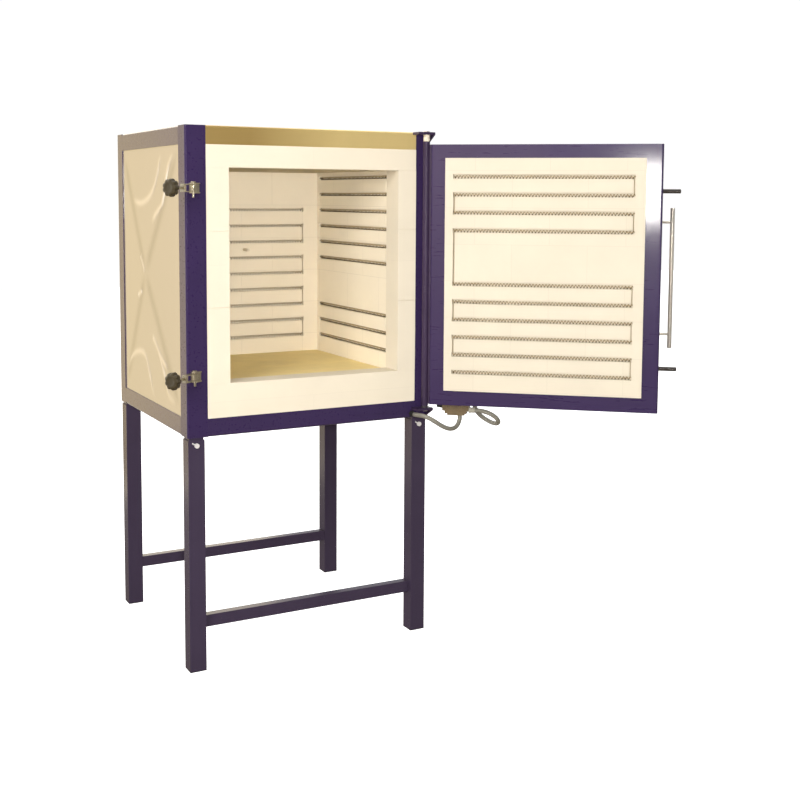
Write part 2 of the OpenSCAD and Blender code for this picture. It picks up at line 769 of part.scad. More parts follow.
// Heating elements
module side_element() {
    row_coils(side_rows, side_links, side_s0, side_s1);
    side_lead(link_d);
    for (i = side_tails)
        translate([side_s1 - coil_d, coil_depth, coil_z(i)]) bar_along_x(link_d, tail_end - side_s1 + coil_d);
}
module side_elements() {
    color("#8c7d64") in_casing() {
        on_left_wall() side_element();
        on_right_wall() side_element();
    }
}
module back_element() {
    color("#8c7d64") in_casing() {
        translate([0, chamber_d, 0]) row_coils(back_rows, back_links, back_s0, back_s1);
        for (p = back_tails)
            translate([p[0], chamber_d + coil_depth, p[1]])
                bar_along_y(link_d, tail_end - chamber_d - coil_depth);
    }
}
module terminal_blocks() {
    color("#c9a24a") in_casing() for (p = tails) translate([p[0], back_face, p[1]]) difference() {
        bar_along_y(block_d, block_l);
        translate([0, -cut, 0]) bar_along_y(link_d + 2 * pin_clear, block_l + 2 * cut);
    }
}
module thermocouple() {
    color("#d8c9ad") in_casing() translate([ch_mid, 0, probe_z]) {
        translate([0, chamber_d - probe_reach, 0]) bar_along_y(probe_d, tail_end - chamber_d + probe_reach);
        translate([0, back_face, 0]) bar_along_y(probe_head_d, probe_head_l);
    }
}

// Cover over the terminals, with two bands of vent slots
module terminal_cover() {
    color("#413a5f") in_casing() difference() {
        block([cover_x0, back_face, cover_z0], [cover_x1, back_face + cover_depth, cover_z1]);
        block([cover_x0 + cover_t, back_face - cut, cover_z0 + cover_t],
              [cover_x1 - cover_t, back_face + cover_depth - cover_t, cover_z1 - cover_t]);
        for (z = [cover_z0 + slot_l, cover_z1 - 2 * slot_l])
            for (i = [0 : slot_count - 1])
                translate([ch_mid + (i - (slot_count - 1) / 2) * slot_pitch - slot_w / 2,
                           back_face + cover_depth - cover_t - cut, z])
                    cube([slot_w, cover_t + 2 * cut, slot_l]);
        translate([ch_mid + supply_x, supply_y, cover_z0 - cut])
            cylinder(d = supply_bore, h = cover_t + 2 * cut);
    }
}
module supply_gland() {
    color("#3a3a3a") in_casing() translate([ch_mid + supply_x, supply_y, cover_z0]) rotate([180, 0, 0])
        gland(supply_d, supply_bore, supply_l);
}
module vent_bung() {
    color("#f2e6cc") in_casing() translate([ch_mid, vent_y, 0]) {
        translate([0, 0, ch_z1]) cylinder(d1 = vent_d - 2 * bung_gap - bung_taper, d2 = vent_d - 2 * bung_gap,
                                          h = roof_face + seat_gap - ch_z1);
        translate([0, 0, roof_face + seat_gap]) cylinder(d = vent_d + 2 * bung_rim, h = bung_head);
    }
}

// Hinge brackets, each a plate with a triangular gusset at its outer end
module hinge_plate(z) {
    difference() {
        block([body_w - bracket_w, -bracket_out, z], [body_w, 0, z + bracket_t]);
        translate([hinge_x, -hinge_out, z - cut]) cylinder(d = pin_hole, h = bracket_t + 2 * cut);
    }
}
module hinge_gusset(h) {
    rotate([90, 0, -90]) linear_extrude(gusset_t) polygon([[0, 0], [bracket_out, 0], [0, -h]]);
}
module upper_hinge_bracket() {
    color("#2f2b3f") in_casing() {
        hinge_plate(hinge_high_z);
        translate([body_w, 0, hinge_high_z]) hinge_gusset(gusset_h);
    }
}
module lower_hinge_bracket() {
    color("#2f2b3f") in_casing() {
        hinge_plate(bracket_low);
        translate([body_w, 0, bracket_low]) hinge_gusset(bracket_low - angle_t);
    }
}
module hinge_pins() {
    color("#9a958c") in_casing() translate([hinge_x, -hinge_out, 0]) {
        translate([0, 0, tube_z1 - pin_depth]) cylinder(d = pin_d, h = body_h - tube_z1 + pin_depth);
        translate([0, 0, body_h]) cylinder(d = pin_head_d, h = pin_head_t);
        translate([0, 0, bracket_low]) cylinder(d = pin_d, h = tube_z0 + pin_depth - bracket_low);
        translate([0, 0, bracket_low - pin_head_t]) cylinder(d = pin_head_d, h = pin_head_t);
    }
}
module bush(h) {
    difference() {
        cylinder(d = bush_d, h = h);
        translate([0, 0, -cut]) cylinder(d = pin_hole, h = h + 2 * cut);
    }
}
module hinge_bushes() {
    color("#ddcfae") in_casing() translate([hinge_x, -hinge_out, 0]) {
        translate([0, 0, hinge_high_z - bush_top]) bush(bush_top);
        translate([0, 0, hinge_low_z]) bush(bush_low);
    }
}

// Stand: repeats a piece at the four legs, drawn about the leg's middle with the outer face at -Y
module at_legs() {
    reach = [body_w / 2 - leg_inset - leg_w / 2, body_d / 2 - leg_inset - leg_w / 2];
    for (sx = [-1, 1])
        for (sy = [-1, 1])
            translate([sx * reach[0], sy * reach[1], 0]) mirror([0, sy > 0 ? 1 : 0, 0]) children();
}
module square_tube(w, t, z0, z1) {
    difference() {
        translate([-w / 2, -w / 2, z0]) cube([w, w, z1 - z0]);
        translate([t - w / 2, t - w / 2, z0 - cut]) cube([w - 2 * t, w - 2 * t, z1 - z0 + 2 * cut]);
    }
}
module bolt_hole(d) {
    translate([0, -leg_w / 2 - cut, stand_h - bolt_drop]) bar_along_y(d, leg_w / 2);
}
module leg_spigots() {
    color("#413a5f") at_legs() difference() {
        square_tube(leg_w - 2 * leg_t - 2 * spigot_gap, spigot_t, stand_h - spigot_l, stand_h + angle_t);
        bolt_hole(bolt_d + 2 * pin_clear);
    }
}
module legs() {
    color("#413a5f") at_legs() difference() {
        square_tube(leg_w, leg_t, foot_t, stand_h - leg_neck);
        bolt_hole(bolt_d + 2 * pin_clear);
    }
}
module stand_rails() {
    x = body_w / 2 - leg_inset - leg_w;
    y = body_d / 2 - leg_inset - stand_rail_in;
    top = stand_rail_z + stand_rail_h;
    color("#413a5f") for (back = [0, 1]) mirror([0, back, 0]) difference() {
        block([-x, -y, stand_rail_z], [x, stand_rail_d - y, top]);
        block([-x - cut, leg_t - y, stand_rail_z + leg_t], [x + cut, stand_rail_d - leg_t - y, top - leg_t]);
    }
}
module leg_bolts() {
    shank = leg_t + spigot_gap + spigot_t + bolt_d / 2;
    color("#d8d2c4") at_legs() translate([0, -leg_w / 2, stand_h - bolt_drop]) {
        bar_along_y(bolt_d, shank);
        translate([0, -bolt_head_t, 0]) bar_along_y(bolt_head_d, bolt_head_t);
        translate([0, -bolt_head_t / 2, 0]) rotate([0, -60, 0]) cylinder(d = bolt_tail_d, h = bolt_tail_l);
    }
}
module foot_caps() {
    plug = leg_w - 2 * leg_t - 2 * spigot_gap;
    color("#2a2a2a") at_legs() {
        translate([-leg_w / 2, -leg_w / 2, 0]) cube([leg_w, leg_w, foot_t]);
        square_tube(plug, leg_t, 0, foot_t + foot_plug_h);
    }
}

// Clamps on the casing
module clamp_flange() {
    linear_extrude(clamp_t) difference() {
        union() {
            circle(ear_r);
            polygon([[-ear_r, 0], [-ear_r, pivot_out], [base_right, pivot_out],
                     [base_right, ear_side], [ear_side, -ear_r * 0.8]]);
        }
        circle(d = pivot_hole);
    }
}
module clamp_brackets() {
    color("#c8b996") in_casing() for (z = clamp_heights) translate([pivot_in, -pivot_out, z]) {
        translate([0, 0, flange_z]) clamp_flange();
        translate([0, 0, -bracket_z]) clamp_flange();
        block([base_right - base_w, pivot_out - clamp_t, -bracket_z], [base_right, pivot_out, bracket_z]);
    }
}
module clamp_pins() {
    color("#d8d2c4") in_casing() for (z = clamp_heights) translate([pivot_in, -pivot_out, z]) {
        translate([0, 0, -bracket_z - pivot_tail]) cylinder(d = pivot_d, h = 2 * bracket_z + pivot_tail);
        translate([0, 0, bracket_z]) cylinder(d = pivot_head_d, h = pivot_head_t);
    }
}

// Clamp pieces, drawn along X from the pivot
module yoke() {
    difference() {
        union() {
            for (z = [-arm_z, yoke_gap / 2]) translate([0, 0, z]) linear_extrude(clamp_t) {
                circle(ear_r);
                translate([0, -ear_r]) square([web_at + yoke_web, yoke_w]);
            }
            block([web_at, -ear_r, -yoke_gap / 2], [web_at + yoke_web, ear_r, yoke_gap / 2]);
            translate([0, 0, -yoke_gap / 2]) cylinder(r = ear_r - knuckle_in, h = yoke_gap);
        }
        translate([0, 0, -arm_z - cut]) cylinder(d = pivot_hole, h = 2 * (arm_z + cut));
        translate([web_at - cut, 0, 0]) bar_along_x(screw_hole, yoke_web + 2 * cut);
        translate([web_at - cut, 0, 0]) bar_along_x(pad_d + pad_room, pad_t + 2 * seat_gap + cut);
    }
}
module pad() {
    difference() {
        translate([web_at, 0, 0]) bar_along_x(pad_d, pad_t);
        translate([web_at + pad_t - screw_tip_l - seat_gap, 0, 0])
            bar_along_x(screw_tip_d + 2 * pin_clear, screw_tip_l + seat_gap + cut);
    }
}
module clamp_screw() {
    start = web_at + pad_t;
    translate([start - screw_tip_l, 0, 0]) bar_along_x(screw_tip_d, screw_tip_l + 2 * seat_gap);
    translate([start + seat_gap, 0, 0]) bar_along_x(screw_d, knob_at + screw_in_knob - start - seat_gap);
}
module star(d) {
    circle(d = d - lobe_r);
    for (k = [0 : knob_lobes - 1]) rotate(360 * k / knob_lobes) translate([d / 2 - lobe_r, 0]) circle(lobe_r);
}
module knob() {
    translate([knob_at, 0, 0]) rotate([0, 90, 0]) difference() {
        union() {
            cylinder(d = knob_cap_d, h = knob_t + knob_cap_t);
            translate([0, 0, knob_boss]) linear_extrude(knob_t - knob_boss) star(knob_d);
        }
        translate([0, 0, -cut]) cylinder(d = screw_hole, h = screw_in_knob + seat_gap + cut);
    }
}
module upper_yoke() { color("#c8b996") in_clamp(clamp_high) yoke(); }
module upper_pad() { color("#b8ad94") in_clamp(clamp_high) pad(); }
module upper_screw() { color("#d8d2c4") in_clamp(clamp_high) clamp_screw(); }
module upper_knob() { color("#2b2620") in_clamp(clamp_high) knob(); }
module lower_yoke() { color("#c8b996") in_clamp(clamp_low) yoke(); }
module lower_pad() { color("#b8ad94") in_clamp(clamp_low) pad(); }
module lower_screw() { color("#d8d2c4") in_clamp(clamp_low) clamp_screw(); }
module lower_knob() { color("#2b2620") in_clamp(clamp_low) knob(); }

// Door
module door_frame() {
    color("#413a5f") in_door() difference() {
        translate([door_x0, -door_out, door_z0]) linear_extrude(door_z1 - door_z0)
            rounded_plan(door_x1 - door_x0, door_t, angle_r);
        block([door_x0 + angle_t, angle_t - door_out, door_z0 + angle_t],
              [door_x1 - angle_t, -door_in - angle_t, door_z1 - angle_t]);
        block([plug_x0, -door_out - cut, plug_z0], [plug_x1, cut - door_in, plug_z1]);
        for (z = clamp_heights)
            translate([door_x0 - cut, -rod_out, z]) bar_along_x(rod_d + 2 * pin_clear, angle_t + 2 * cut);
    }
}
module door_skin() {
    x0 = door_x0 + angle_t + sheet_gap;
    z0 = door_z0 + angle_t + sheet_gap;
    color("#e1d0af") in_door() translate([x0, angle_t + sheet_t - door_out, z0]) rotate([90, 0, 0])
        cross_broken_sheet(door_x1 - angle_t - sheet_gap - x0, door_z1 - angle_t - sheet_gap - z0,
                           [plug_x0 + break_in - x0, plug_z0 + break_in - z0],
                           [plug_x1 - break_in - x0, plug_z1 - break_in - z0]);
}
module door_backing() {
    edge = angle_t + sheet_gap;
    color("#d9d2c4") in_door()
        block([door_x0 + edge, edge + sheet_t - door_out, door_z0 + edge],
              [door_x1 - edge, -plug_back, door_z1 - edge]);
}
module door_lining() {
    color("#fff7e1") in_door() difference() {
        block([plug_x0, -plug_back, plug_z0], [plug_x1, -plug_face, plug_z1]);
        translate([0, -plug_face, 0]) mirror([0, 1, 0]) row_grooves(door_rows, door_links, ch_x0, ch_x1);
        for (p = door_tails) translate([p[0], -plug_back - cut, p[1]]) bar_along_y(tail_hole, plug_t);
    }
}
module door_element() {
    color("#8c7d64") in_door() {
        translate([0, -plug_face, 0]) mirror([0, 1, 0]) row_coils(door_rows, door_links, ch_x0, ch_x1);
        for (p = door_tails) translate([p[0], seat_gap - plug_back, p[1]])
            bar_along_y(link_d, plug_t - coil_depth - seat_gap);
    }
}
module hinge_tube() {
    color("#4a4468") in_door() difference() {
        union() {
            translate([hinge_x, -hinge_out, tube_z0]) cylinder(d = tube_d, h = tube_z1 - tube_z0);
            block([door_x1, -hinge_out - web_t / 2, door_z0],
                  [hinge_x - tube_d / 2 + tube_wall_lap, web_t / 2 - hinge_out, door_z1]);
        }
        for (z = [tube_z0 - cut, tube_z1 - pin_depth - cut])
            translate([hinge_x, -hinge_out, z]) cylinder(d = pin_hole, h = pin_depth + 2 * cut);
    }
}
module handle_bar() {
    color("#c8b996") in_door() difference() {
        translate([bar_x, -bar_front, bar_low]) cylinder(d = bar_d, h = bar_l);
        for (z = bar_posts) translate([bar_x, -bar_front, z]) bar_along_x(post_d + 2 * pin_clear, bar_d);
    }
}
module handle_posts() {
    color("#c8b996") in_door()
        for (z = bar_posts) translate([bar_x, -bar_front, z]) bar_along_x(post_d, bar_out);
}
module locking_rods() {
    color("#4b4640") in_door() for (z = clamp_heights) translate([door_x0 - rod_reach, -rod_out, z]) {
        rotate([0, 90, 0]) cylinder(d1 = rod_d - 2 * rod_chamfer, d2 = rod_d, h = rod_chamfer);
        translate([rod_chamfer, 0, 0]) bar_along_x(rod_d, rod_reach + rod_root - rod_chamfer);
    }
}

// Connector under the door: stepped, with ribs cut down both long faces
module cable_connector() {
    color("#735f41") in_door() difference() {
        for (s = conn_steps)
            block([conn_mid - s[1] * plug_l / 2, -plug_front - s[1] * plug_w / 2, door_z0 - s[0] * plug_h],
                  [conn_mid + s[1] * plug_l / 2, s[1] * plug_w / 2 - plug_front, door_z0]);
        for (side = [-1, 1])
            for (i = [-conn_ribs : conn_ribs])
                translate([conn_mid + i * rib_pitch, side * plug_w / 2 - plug_front,
                           door_z0 - conn_rib_h / 2 - rib_margin])
                    cube([rib_pitch / 2, 2 * rib_depth, conn_rib_h], center = true);
    }
}
module connector_boot() {
    color("#3b352c") in_door() translate([conn_x1, -plug_front, boot_z]) rotate([0, 90, 0])
        cylinder(d1 = boot_d, d2 = boot_tip_d, h = boot_l);
}

// Cables
module cable_gland() {
    color("#3a3a3a") in_casing() translate([body_w - gland_in, 0, gland_z]) rotate([90, 0, 0])
        gland(gland_d, cable_d + 2 * pin_clear, gland_l);
}
module return_cable() {
    color("#a5a091") in_door() swept_tube(return_route, cable_d, [0, 0, 1]);
}
module door_cable() {
    color("#a5a091") in_casing() swept_tube(door_route, cable_d, [0, 0, 1]);
}

front_left_post();
front_right_post();
rear_posts();
casing_rails();
front_fascia();
left_panel();
right_panel();
back_panel();
roof_panel();
base_panel();
jambs();
sill();
lintel();
left_wall();
right_wall();
back_wall();
chamber_roof();
chamber_floor();
backing_boards();
side_elements();
back_element();
terminal_blocks();
floor_plate();
thermocouple();
terminal_cover();
supply_gland();
vent_bung();
upper_hinge_bracket();
lower_hinge_bracket();
hinge_pins();
hinge_bushes();
leg_spigots();
legs();
stand_rails();
leg_bolts();
foot_caps();
clamp_brackets();
clamp_pins();
cable_gland();
door_frame();
door_skin();
door_backing();
door_lining();
door_element();
hinge_tube();
handle_bar();
handle_posts();
locking_rods();
cable_connector();
connector_boot();
return_cable();
door_cable();
upper_yoke();
upper_pad();
upper_screw();
upper_knob();
lower_yoke();
lower_pad();
lower_screw();
lower_knob();
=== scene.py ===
import json
from math import cos, pi, radians, sin

import bpy
import numpy as np
from mathutils import Matrix, Vector


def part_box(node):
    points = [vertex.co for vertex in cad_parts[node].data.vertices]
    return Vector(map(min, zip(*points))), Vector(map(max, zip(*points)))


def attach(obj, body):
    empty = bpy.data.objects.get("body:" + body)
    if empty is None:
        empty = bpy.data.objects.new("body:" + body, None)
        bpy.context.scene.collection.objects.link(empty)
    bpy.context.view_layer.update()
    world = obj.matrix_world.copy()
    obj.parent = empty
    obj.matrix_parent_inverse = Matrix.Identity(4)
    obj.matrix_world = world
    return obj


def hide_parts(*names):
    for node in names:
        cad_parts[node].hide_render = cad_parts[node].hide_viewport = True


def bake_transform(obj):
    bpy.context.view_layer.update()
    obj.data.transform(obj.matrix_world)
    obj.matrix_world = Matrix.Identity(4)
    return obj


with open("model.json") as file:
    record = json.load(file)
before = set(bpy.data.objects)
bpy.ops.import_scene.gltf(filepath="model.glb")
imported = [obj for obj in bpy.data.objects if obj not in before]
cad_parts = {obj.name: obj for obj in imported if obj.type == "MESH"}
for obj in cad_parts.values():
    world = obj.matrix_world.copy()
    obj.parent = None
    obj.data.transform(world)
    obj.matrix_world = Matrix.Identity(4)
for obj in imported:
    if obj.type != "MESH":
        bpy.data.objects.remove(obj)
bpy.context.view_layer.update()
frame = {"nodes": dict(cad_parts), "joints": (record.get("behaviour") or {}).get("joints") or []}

bl_info = {
    "name": "Front-Loading Kiln",
    "version": (1, 0, 0),
    "blender": (4, 5, 0),
    "location": "View3D > Sidebar > Kiln",
    "description": "Dresses a front-loading electric kiln on a stand, with its door open",
    "category": "Object",
}

NODES = frame["nodes"]
MM = 0.001

# Casing coordinates, in millimetres: the casing's front left bottom corner, X right, Y back, Z up.
CASING = Matrix.Translation(Vector(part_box("front_left_post")[0])) @ Matrix.Scale(MM, 4)
HINGE = next(joint for joint in frame["joints"] if joint["name"] == "door_hinge")["pos_m"]
HINGE_MM = CASING.inverted() @ Vector(HINGE)
HINGE_MM.z = 0
DOOR_OPEN = radians(140)
# The same coordinates with the door drawn closed and swung to where it rests.
DOOR = (CASING @ Matrix.Translation(HINGE_MM) @ Matrix.Rotation(DOOR_OPEN, 4, "Z")
        @ Matrix.Translation(-HINGE_MM))
DOOR_ALONG = (cos(DOOR_OPEN), sin(DOOR_OPEN), 0.0)

# Sizes of the modelled kiln that the pieces here have to meet, in millimetres.
CHAMBER_X = (131.0, 685.0)
CHAMBER_BACK = 608.0
CEILING_Z = 781.0
COLLAR_DEPTH = 77.0
WALL_GROOVE_END = 594.0
BACK_GROOVE_X = (185.0, 631.0)
DOOR_FACE = -2.5
COVER_BACK = 761.0
COVER_SCREWS_X = (113.5, 702.5)
COVER_SCREWS_Z = (199.0, 486.0, 773.0)

# Heating elements: rows are counted from the top, and a link joins two rows at their first or last end.
ROW_DROP = 18.0
ROW_PITCH = 55.4
COIL_SEAT = 1.05
COIL_DEPTH = 7.5
COIL_D = 11.0
COIL_GAP = 1.0
WIRE_SIDES = 8
LINK_IN = 3.8
LINK_REACH = 22.0
LINK_BEND = 4.0
LINK_RADIUS = 1.0
TAIL_RADIUS = 1.8
TAIL_LAP = 20.0
TAIL_INSET = 6.0
TAIL_END = 741.0
DOOR_TAIL_END = 58.0
SIDE_ROWS = (1, 2, 3, 4, 5, 6, 9, 10, 11)
SIDE_LINKS = ((1, 2, 0), (2, 3, 1), (3, 4, 0), (4, 5, 1), (5, 6, 0), (9, 10, 0), (10, 11, 1))
SIDE_TAILS = (1, 6, 9)
BACK_ROWS = tuple(range(3, 12))
BACK_LINKS = tuple((i, i + 1, 0 if i % 2 else 1) for i in range(3, 11))
BACK_TAILS = ((3, BACK_GROOVE_X[1] - TAIL_INSET), (11, BACK_GROOVE_X[0] + TAIL_INSET))
DOOR_ROWS = (1, 2, 3, 4, 7, 8, 9, 10, 11, 12)
DOOR_LINKS = ((1, 2, 0), (2, 3, 1), (3, 4, 0), (4, 7, 1), (7, 8, 0), (8, 9, 1), (9, 10, 0),
              (10, 11, 1), (11, 12, 0))
DOOR_TAILS = (1, 12)
# From a coil's axis, the depths and heights between which its wire goes from painted shade to its own pale
# colour.
SHADE_DEPTHS = (-1.5, 1.5)
SHADE_HEIGHTS = (-2.0, 2.5)

# Thin sheets: width, height, and the low and high corners of the window that their frames leave open.
SIDE_SHEET = (704, 886, (57, 51), (647, 835))
DOOR_SHEET = (699, 808, (50, 47), (652, 766))
LEFT_SHEET_AT = (4.2, 711, 7)
RIGHT_SHEET_AT = (789.8, 7, 7)
DOOR_SHEET_AT = (54, -106.3, 50)
SHEET_THICK = 1.2
SHEET_STEP = 4.0
SHEET_RISE = 4.0
BREAK_POWER = 30
CREASE_POINTS = 120
CREASE_WIDTH = 20.0
CREASE_DEPTH = 0.35
RIDGE_WIDTH = 10.0
RIDGE_STEPS = 16
RIDGE_END = 0.12
EDGE_FADE = 12.0
# The cross break's middle, and the ridges, in fractions of a window across it and down from its top.
SHEET_MIDDLE = (0.424, 0.491)
SHEET_RIDGES = (
    ((0.19, 0.198), (0.31, 0.214), (0.41, 0.21), (0.51, 0.188), (0.585, 0.153), (0.635, 0.108),
     (0.68, 0.057), (0.712, 0.019)),
    ((0.54, 0.287), (0.627, 0.255), (0.695, 0.23), (0.737, 0.204), (0.8, 0.102), (0.864, 0.051),
     (0.924, 0.026)),
    ((0.034, 0.918), (0.136, 0.855), (0.237, 0.829), (0.339, 0.819), (0.407, 0.836), (0.458, 0.887),
     (0.5, 0.944), (0.56, 1.0)),
    ((0.525, 0.737), (0.593, 0.765), (0.678, 0.81), (0.797, 0.848)),
    ((0.6, 0.765), (0.661, 0.81), (0.729, 0.874), (0.797, 0.944), (0.915, 0.976)),
    ((0.33, 0.421), (0.415, 0.491)),
    ((0.28, 0.593), (0.356, 0.568)),
)

# Clamps: a knob's boss by places along it and radii, and its head by shares of its radius and of its lobes.
CLAMP_HEIGHTS = {"upper": 721.0, "lower": 181.0}
CLAMP_SWING = radians(210)
PIVOT = (19.5, -14.0)
KNOB_AT = 77.0
KNOB_BOSS = ((0, 10.2), (0.8, 11), (6, 11))
KNOB_HEAD = ((6.1, 0.88, 1), (7, 0.955, 1), (8.6, 1, 1), (18.8, 1, 1), (21.4, 0.975, 1), (23.2, 0.915, 1),
             (24.4, 0.82, 1), (25.0, 0.66, 0.6), (25.2, 0.52, 0), (24.7, 0.47, 0), (24.5, 0.2, 0))
LOBE_SIDES = 16
LOBE_DEPTH = 0.15
LOBE_ROUND = 0.8

# Turned fittings, by places along them and radii.
FERRULE = ((0, 8.6), (0.8, 9.2), (6, 9.2), (6.6, 8.4), (18, 8.4), (20, 7.4))
SCREW_HEAD = ((0, 5), (1.2, 5), (2.4, 4), (3, 2.2))

# Cables: routes from the casing's gland and from the door's lower corner.
GLAND = (738.0, 0.0, 13.0)
DOOR_CORNER = (757.0, 0.0, 46.0)
DOOR_RUN = ((0, -4, 0), (0, -17, 0), (0, -29, 0), (4.6, -43.8, 1.2), (13.5, -57.3, 0.3), (25, -68.1, -4.9),
            (36.8, -74.7, -12.7), (49.4, -78.5, -21.7), (62.8, -79.8, -30.5), (77.5, -79.4, -38.3),
            (93.2, -77.4, -44.1), (109.6, -73.7, -46.2), (124.8, -68.5, -42.9), (137, -63.2, -33.3),
            (143, -60, -20.3), (143, -60, -6.3))
RETURN_RUN = ((-122, -50, -20), (-136, -50, -20), (-151.5, -48.2, -20), (-167.8, -45.5, -21),
              (-184.7, -44.1, -24.8), (-199.8, -46.1, -32.3), (-211.3, -52.8, -43), (-216.4, -64, -54.6),
              (-213.4, -77.7, -64.1), (-203.1, -90.6, -68.6), (-188.3, -99.7, -66.6),
              (-173.7, -103.1, -60.5), (-160.1, -102.1, -52), (-148.5, -98.1, -41.8),
              (-139.9, -93.3, -29.6), (-135, -90, -15), (-135, -90, 0))
CABLE_SIDES = 18
CABLE_STEPS = 6
EASING = 0.4
EASING_ROUNDS = 40

# Rounding of the CAD nodes' edges.
WELD_GAP = 1e-5
SHARP_EDGE = radians(40)

# Stage, in metres.
REFLECTOR = ((-5.0, 2.9, -0.3), (1.2, 2.9, -0.3), (1.2, 2.9, 4.5), (-5.0, 2.9, 4.5))
REFLECTOR_MIDDLE = (-1.26, 0.95)
REFLECTOR_HALF = (0.31, 0.84)
PALE_CARD = ((-3.5, -2.2, -0.6), (-2.1, -3.45, -0.6), (-2.1, -3.45, 3.2), (-3.5, -2.2, 3.2))
WARM_WHITE = (1.0, 0.97, 0.92)
COOL_WHITE = (1.0, 0.99, 0.97)
# Lamps: place, aim, width, height, share of the key light's power, tint, and whether gloss shows them.
LAMPS = {
    "front_light": ((-1.402, -3.62, 1.43), (0.2, -0.3, 1.1), 0.16, 0.2, 0.76, WARM_WHITE, False),
    "glint": ((-1.387, -3.589, 1.43), (0.2, -0.3, 1.1), 0.16, 0.34, 0.24, WARM_WHITE, True),
    "soft_left": ((-3.4, -3.0, 2.6), (0.1, -0.1, 1.1), 2.0, 2.0, 1.55, WARM_WHITE, False),
    "overhead": ((0.2, 0.4, 5.0), (0.2, 0.4, 0.0), 4.0, 4.0, 1.1, COOL_WHITE, True),
}
# The camera's place, and its yaw, pitch and roll in degrees.
CAMERA_AT = (-1.4461, -3.5827, 1.4016)
CAMERA_TURNS = (28.4, 5.06, 0.34)


class KilnFinish(bpy.types.PropertyGroup):
    """Colours of the kiln's surfaces."""

    paint: bpy.props.FloatVectorProperty(
        name="Frame paint", description="Enamel on the frame, the door and the stand",
        subtype="COLOR", size=3, min=0, max=1, default=(0.036, 0.021, 0.075))
    brick: bpy.props.FloatVectorProperty(
        name="Firebrick", description="Insulating brick of the chamber and the door",
        subtype="COLOR", size=3, min=0, max=1, default=(0.92, 0.84, 0.69))
    sheet: bpy.props.FloatVectorProperty(
        name="Side sheets", description="Polished sheets in the sides, the roof and the door",
        subtype="COLOR", size=3, min=0, max=1, default=(0.40, 0.335, 0.27))
    fascia: bpy.props.FloatVectorProperty(
        name="Fascia", description="Brushed strip over the door's mouth",
        subtype="COLOR", size=3, min=0, max=1, default=(0.80, 0.62, 0.27))
    shelf: bpy.props.FloatVectorProperty(
        name="Floor plate", description="Ceramic plate on the chamber's floor",
        subtype="COLOR", size=3, min=0, max=1, default=(0.97, 0.80, 0.38))
    element: bpy.props.FloatVectorProperty(
        name="Element wire", description="Oxidised wire of the heating coils",
        subtype="COLOR", size=3, min=0, max=1, default=(0.46, 0.36, 0.22))
    cable: bpy.props.FloatVectorProperty(
        name="Cable", description="Sleeve of the two cables",
        subtype="COLOR", size=3, min=0, max=1, default=(0.235, 0.225, 0.19))


class KilnSizes(bpy.types.PropertyGroup):
    """Sizes of the pieces that are wound, bent or moulded."""

    wire: bpy.props.FloatProperty(
        name="Element wire", description="Diameter of the coils' wire",
        unit="LENGTH", default=0.0028, min=0.001, max=0.004, precision=4)
    coil_pitch: bpy.props.FloatProperty(
        name="Coil pitch", description="Spacing of the turns along a row",
        unit="LENGTH", default=0.01, min=0.003, max=0.02, precision=4)
    cable: bpy.props.FloatProperty(
        name="Cable", description="Outside diameter of the cables",
        unit="LENGTH", default=0.014, min=0.008, max=0.02)
    knob: bpy.props.FloatProperty(
        name="Knob", description="Diameter of a clamp's knob over its lobes",
        unit="LENGTH", default=0.051, min=0.03, max=0.06)
    lobes: bpy.props.IntProperty(
        name="Lobes", description="Lobes around a knob", default=9, min=5, max=12)
    dent: bpy.props.FloatProperty(
        name="Sheet ridges", description="Height of the ridges in the thin sheets",
        unit="LENGTH", default=0.0015, min=0, max=0.003, precision=4)


class KilnStage(bpy.types.PropertyGroup):
    """Light and floor around the kiln."""

    floor: bpy.props.FloatVectorProperty(
        name="Floor", description="Colour of the floor",
        subtype="COLOR", size=3, min=0, max=1, default=(0.88, 0.88, 0.88))
    sky: bpy.props.FloatProperty(
        name="Surround", description="Strength of the even light all round", default=1.0, min=0, max=4)
    key: bpy.props.FloatProperty(
        name="Key light", description="Power of the light beside the camera",
        unit="POWER", default=90, min=0)


# Node trees

def put(tree, kind, ins=None, **props):
    """Adds a shader node, sets its properties, sets or links its inputs, and gives its outputs."""
    made = tree.nodes.new("ShaderNode" + kind)
    for key, value in props.items():
        setattr(made, key, value)
    for key, value in (ins or {}).items():
        if isinstance(value, bpy.types.NodeSocket):
            tree.links.new(value, made.inputs[key])
        else:
            made.inputs[key].default_value = value
    return made.outputs


def mix(tree, amount, a, b):
    """A colour between two others."""
    return put(tree, "Mix", {0: amount, 6: a, 7: b}, data_type="RGBA")[2]


def ramp(tree, value, low, high, to_low=0.0, to_high=1.0):
    """A value taken from one range to another, and kept inside it."""
    return put(tree, "MapRange", {"Value": value, "From Min": low, "From Max": high,
                                  "To Min": to_low, "To Max": to_high})[0]


def maths(tree, operation, a, b=0.0):
    """An operation on one or two values."""
    return put(tree, "Math", {0: a, 1: b}, operation=operation)[0]


def noise(tree, place, scale, detail, roughness=0.5):
    """Outputs of a noise over a place."""
    return put(tree, "TexNoise", {"Vector": place, "Scale": scale, "Detail": detail,
                                  "Roughness": roughness})


def object_place(tree):
    """Where a point lies in the frame."""
    return put(tree, "TexCoord")["Object"]


def object_axes(tree):
    """A point's X, Y and Z in the frame."""
    return put(tree, "SeparateXYZ", {0: object_place(tree)})


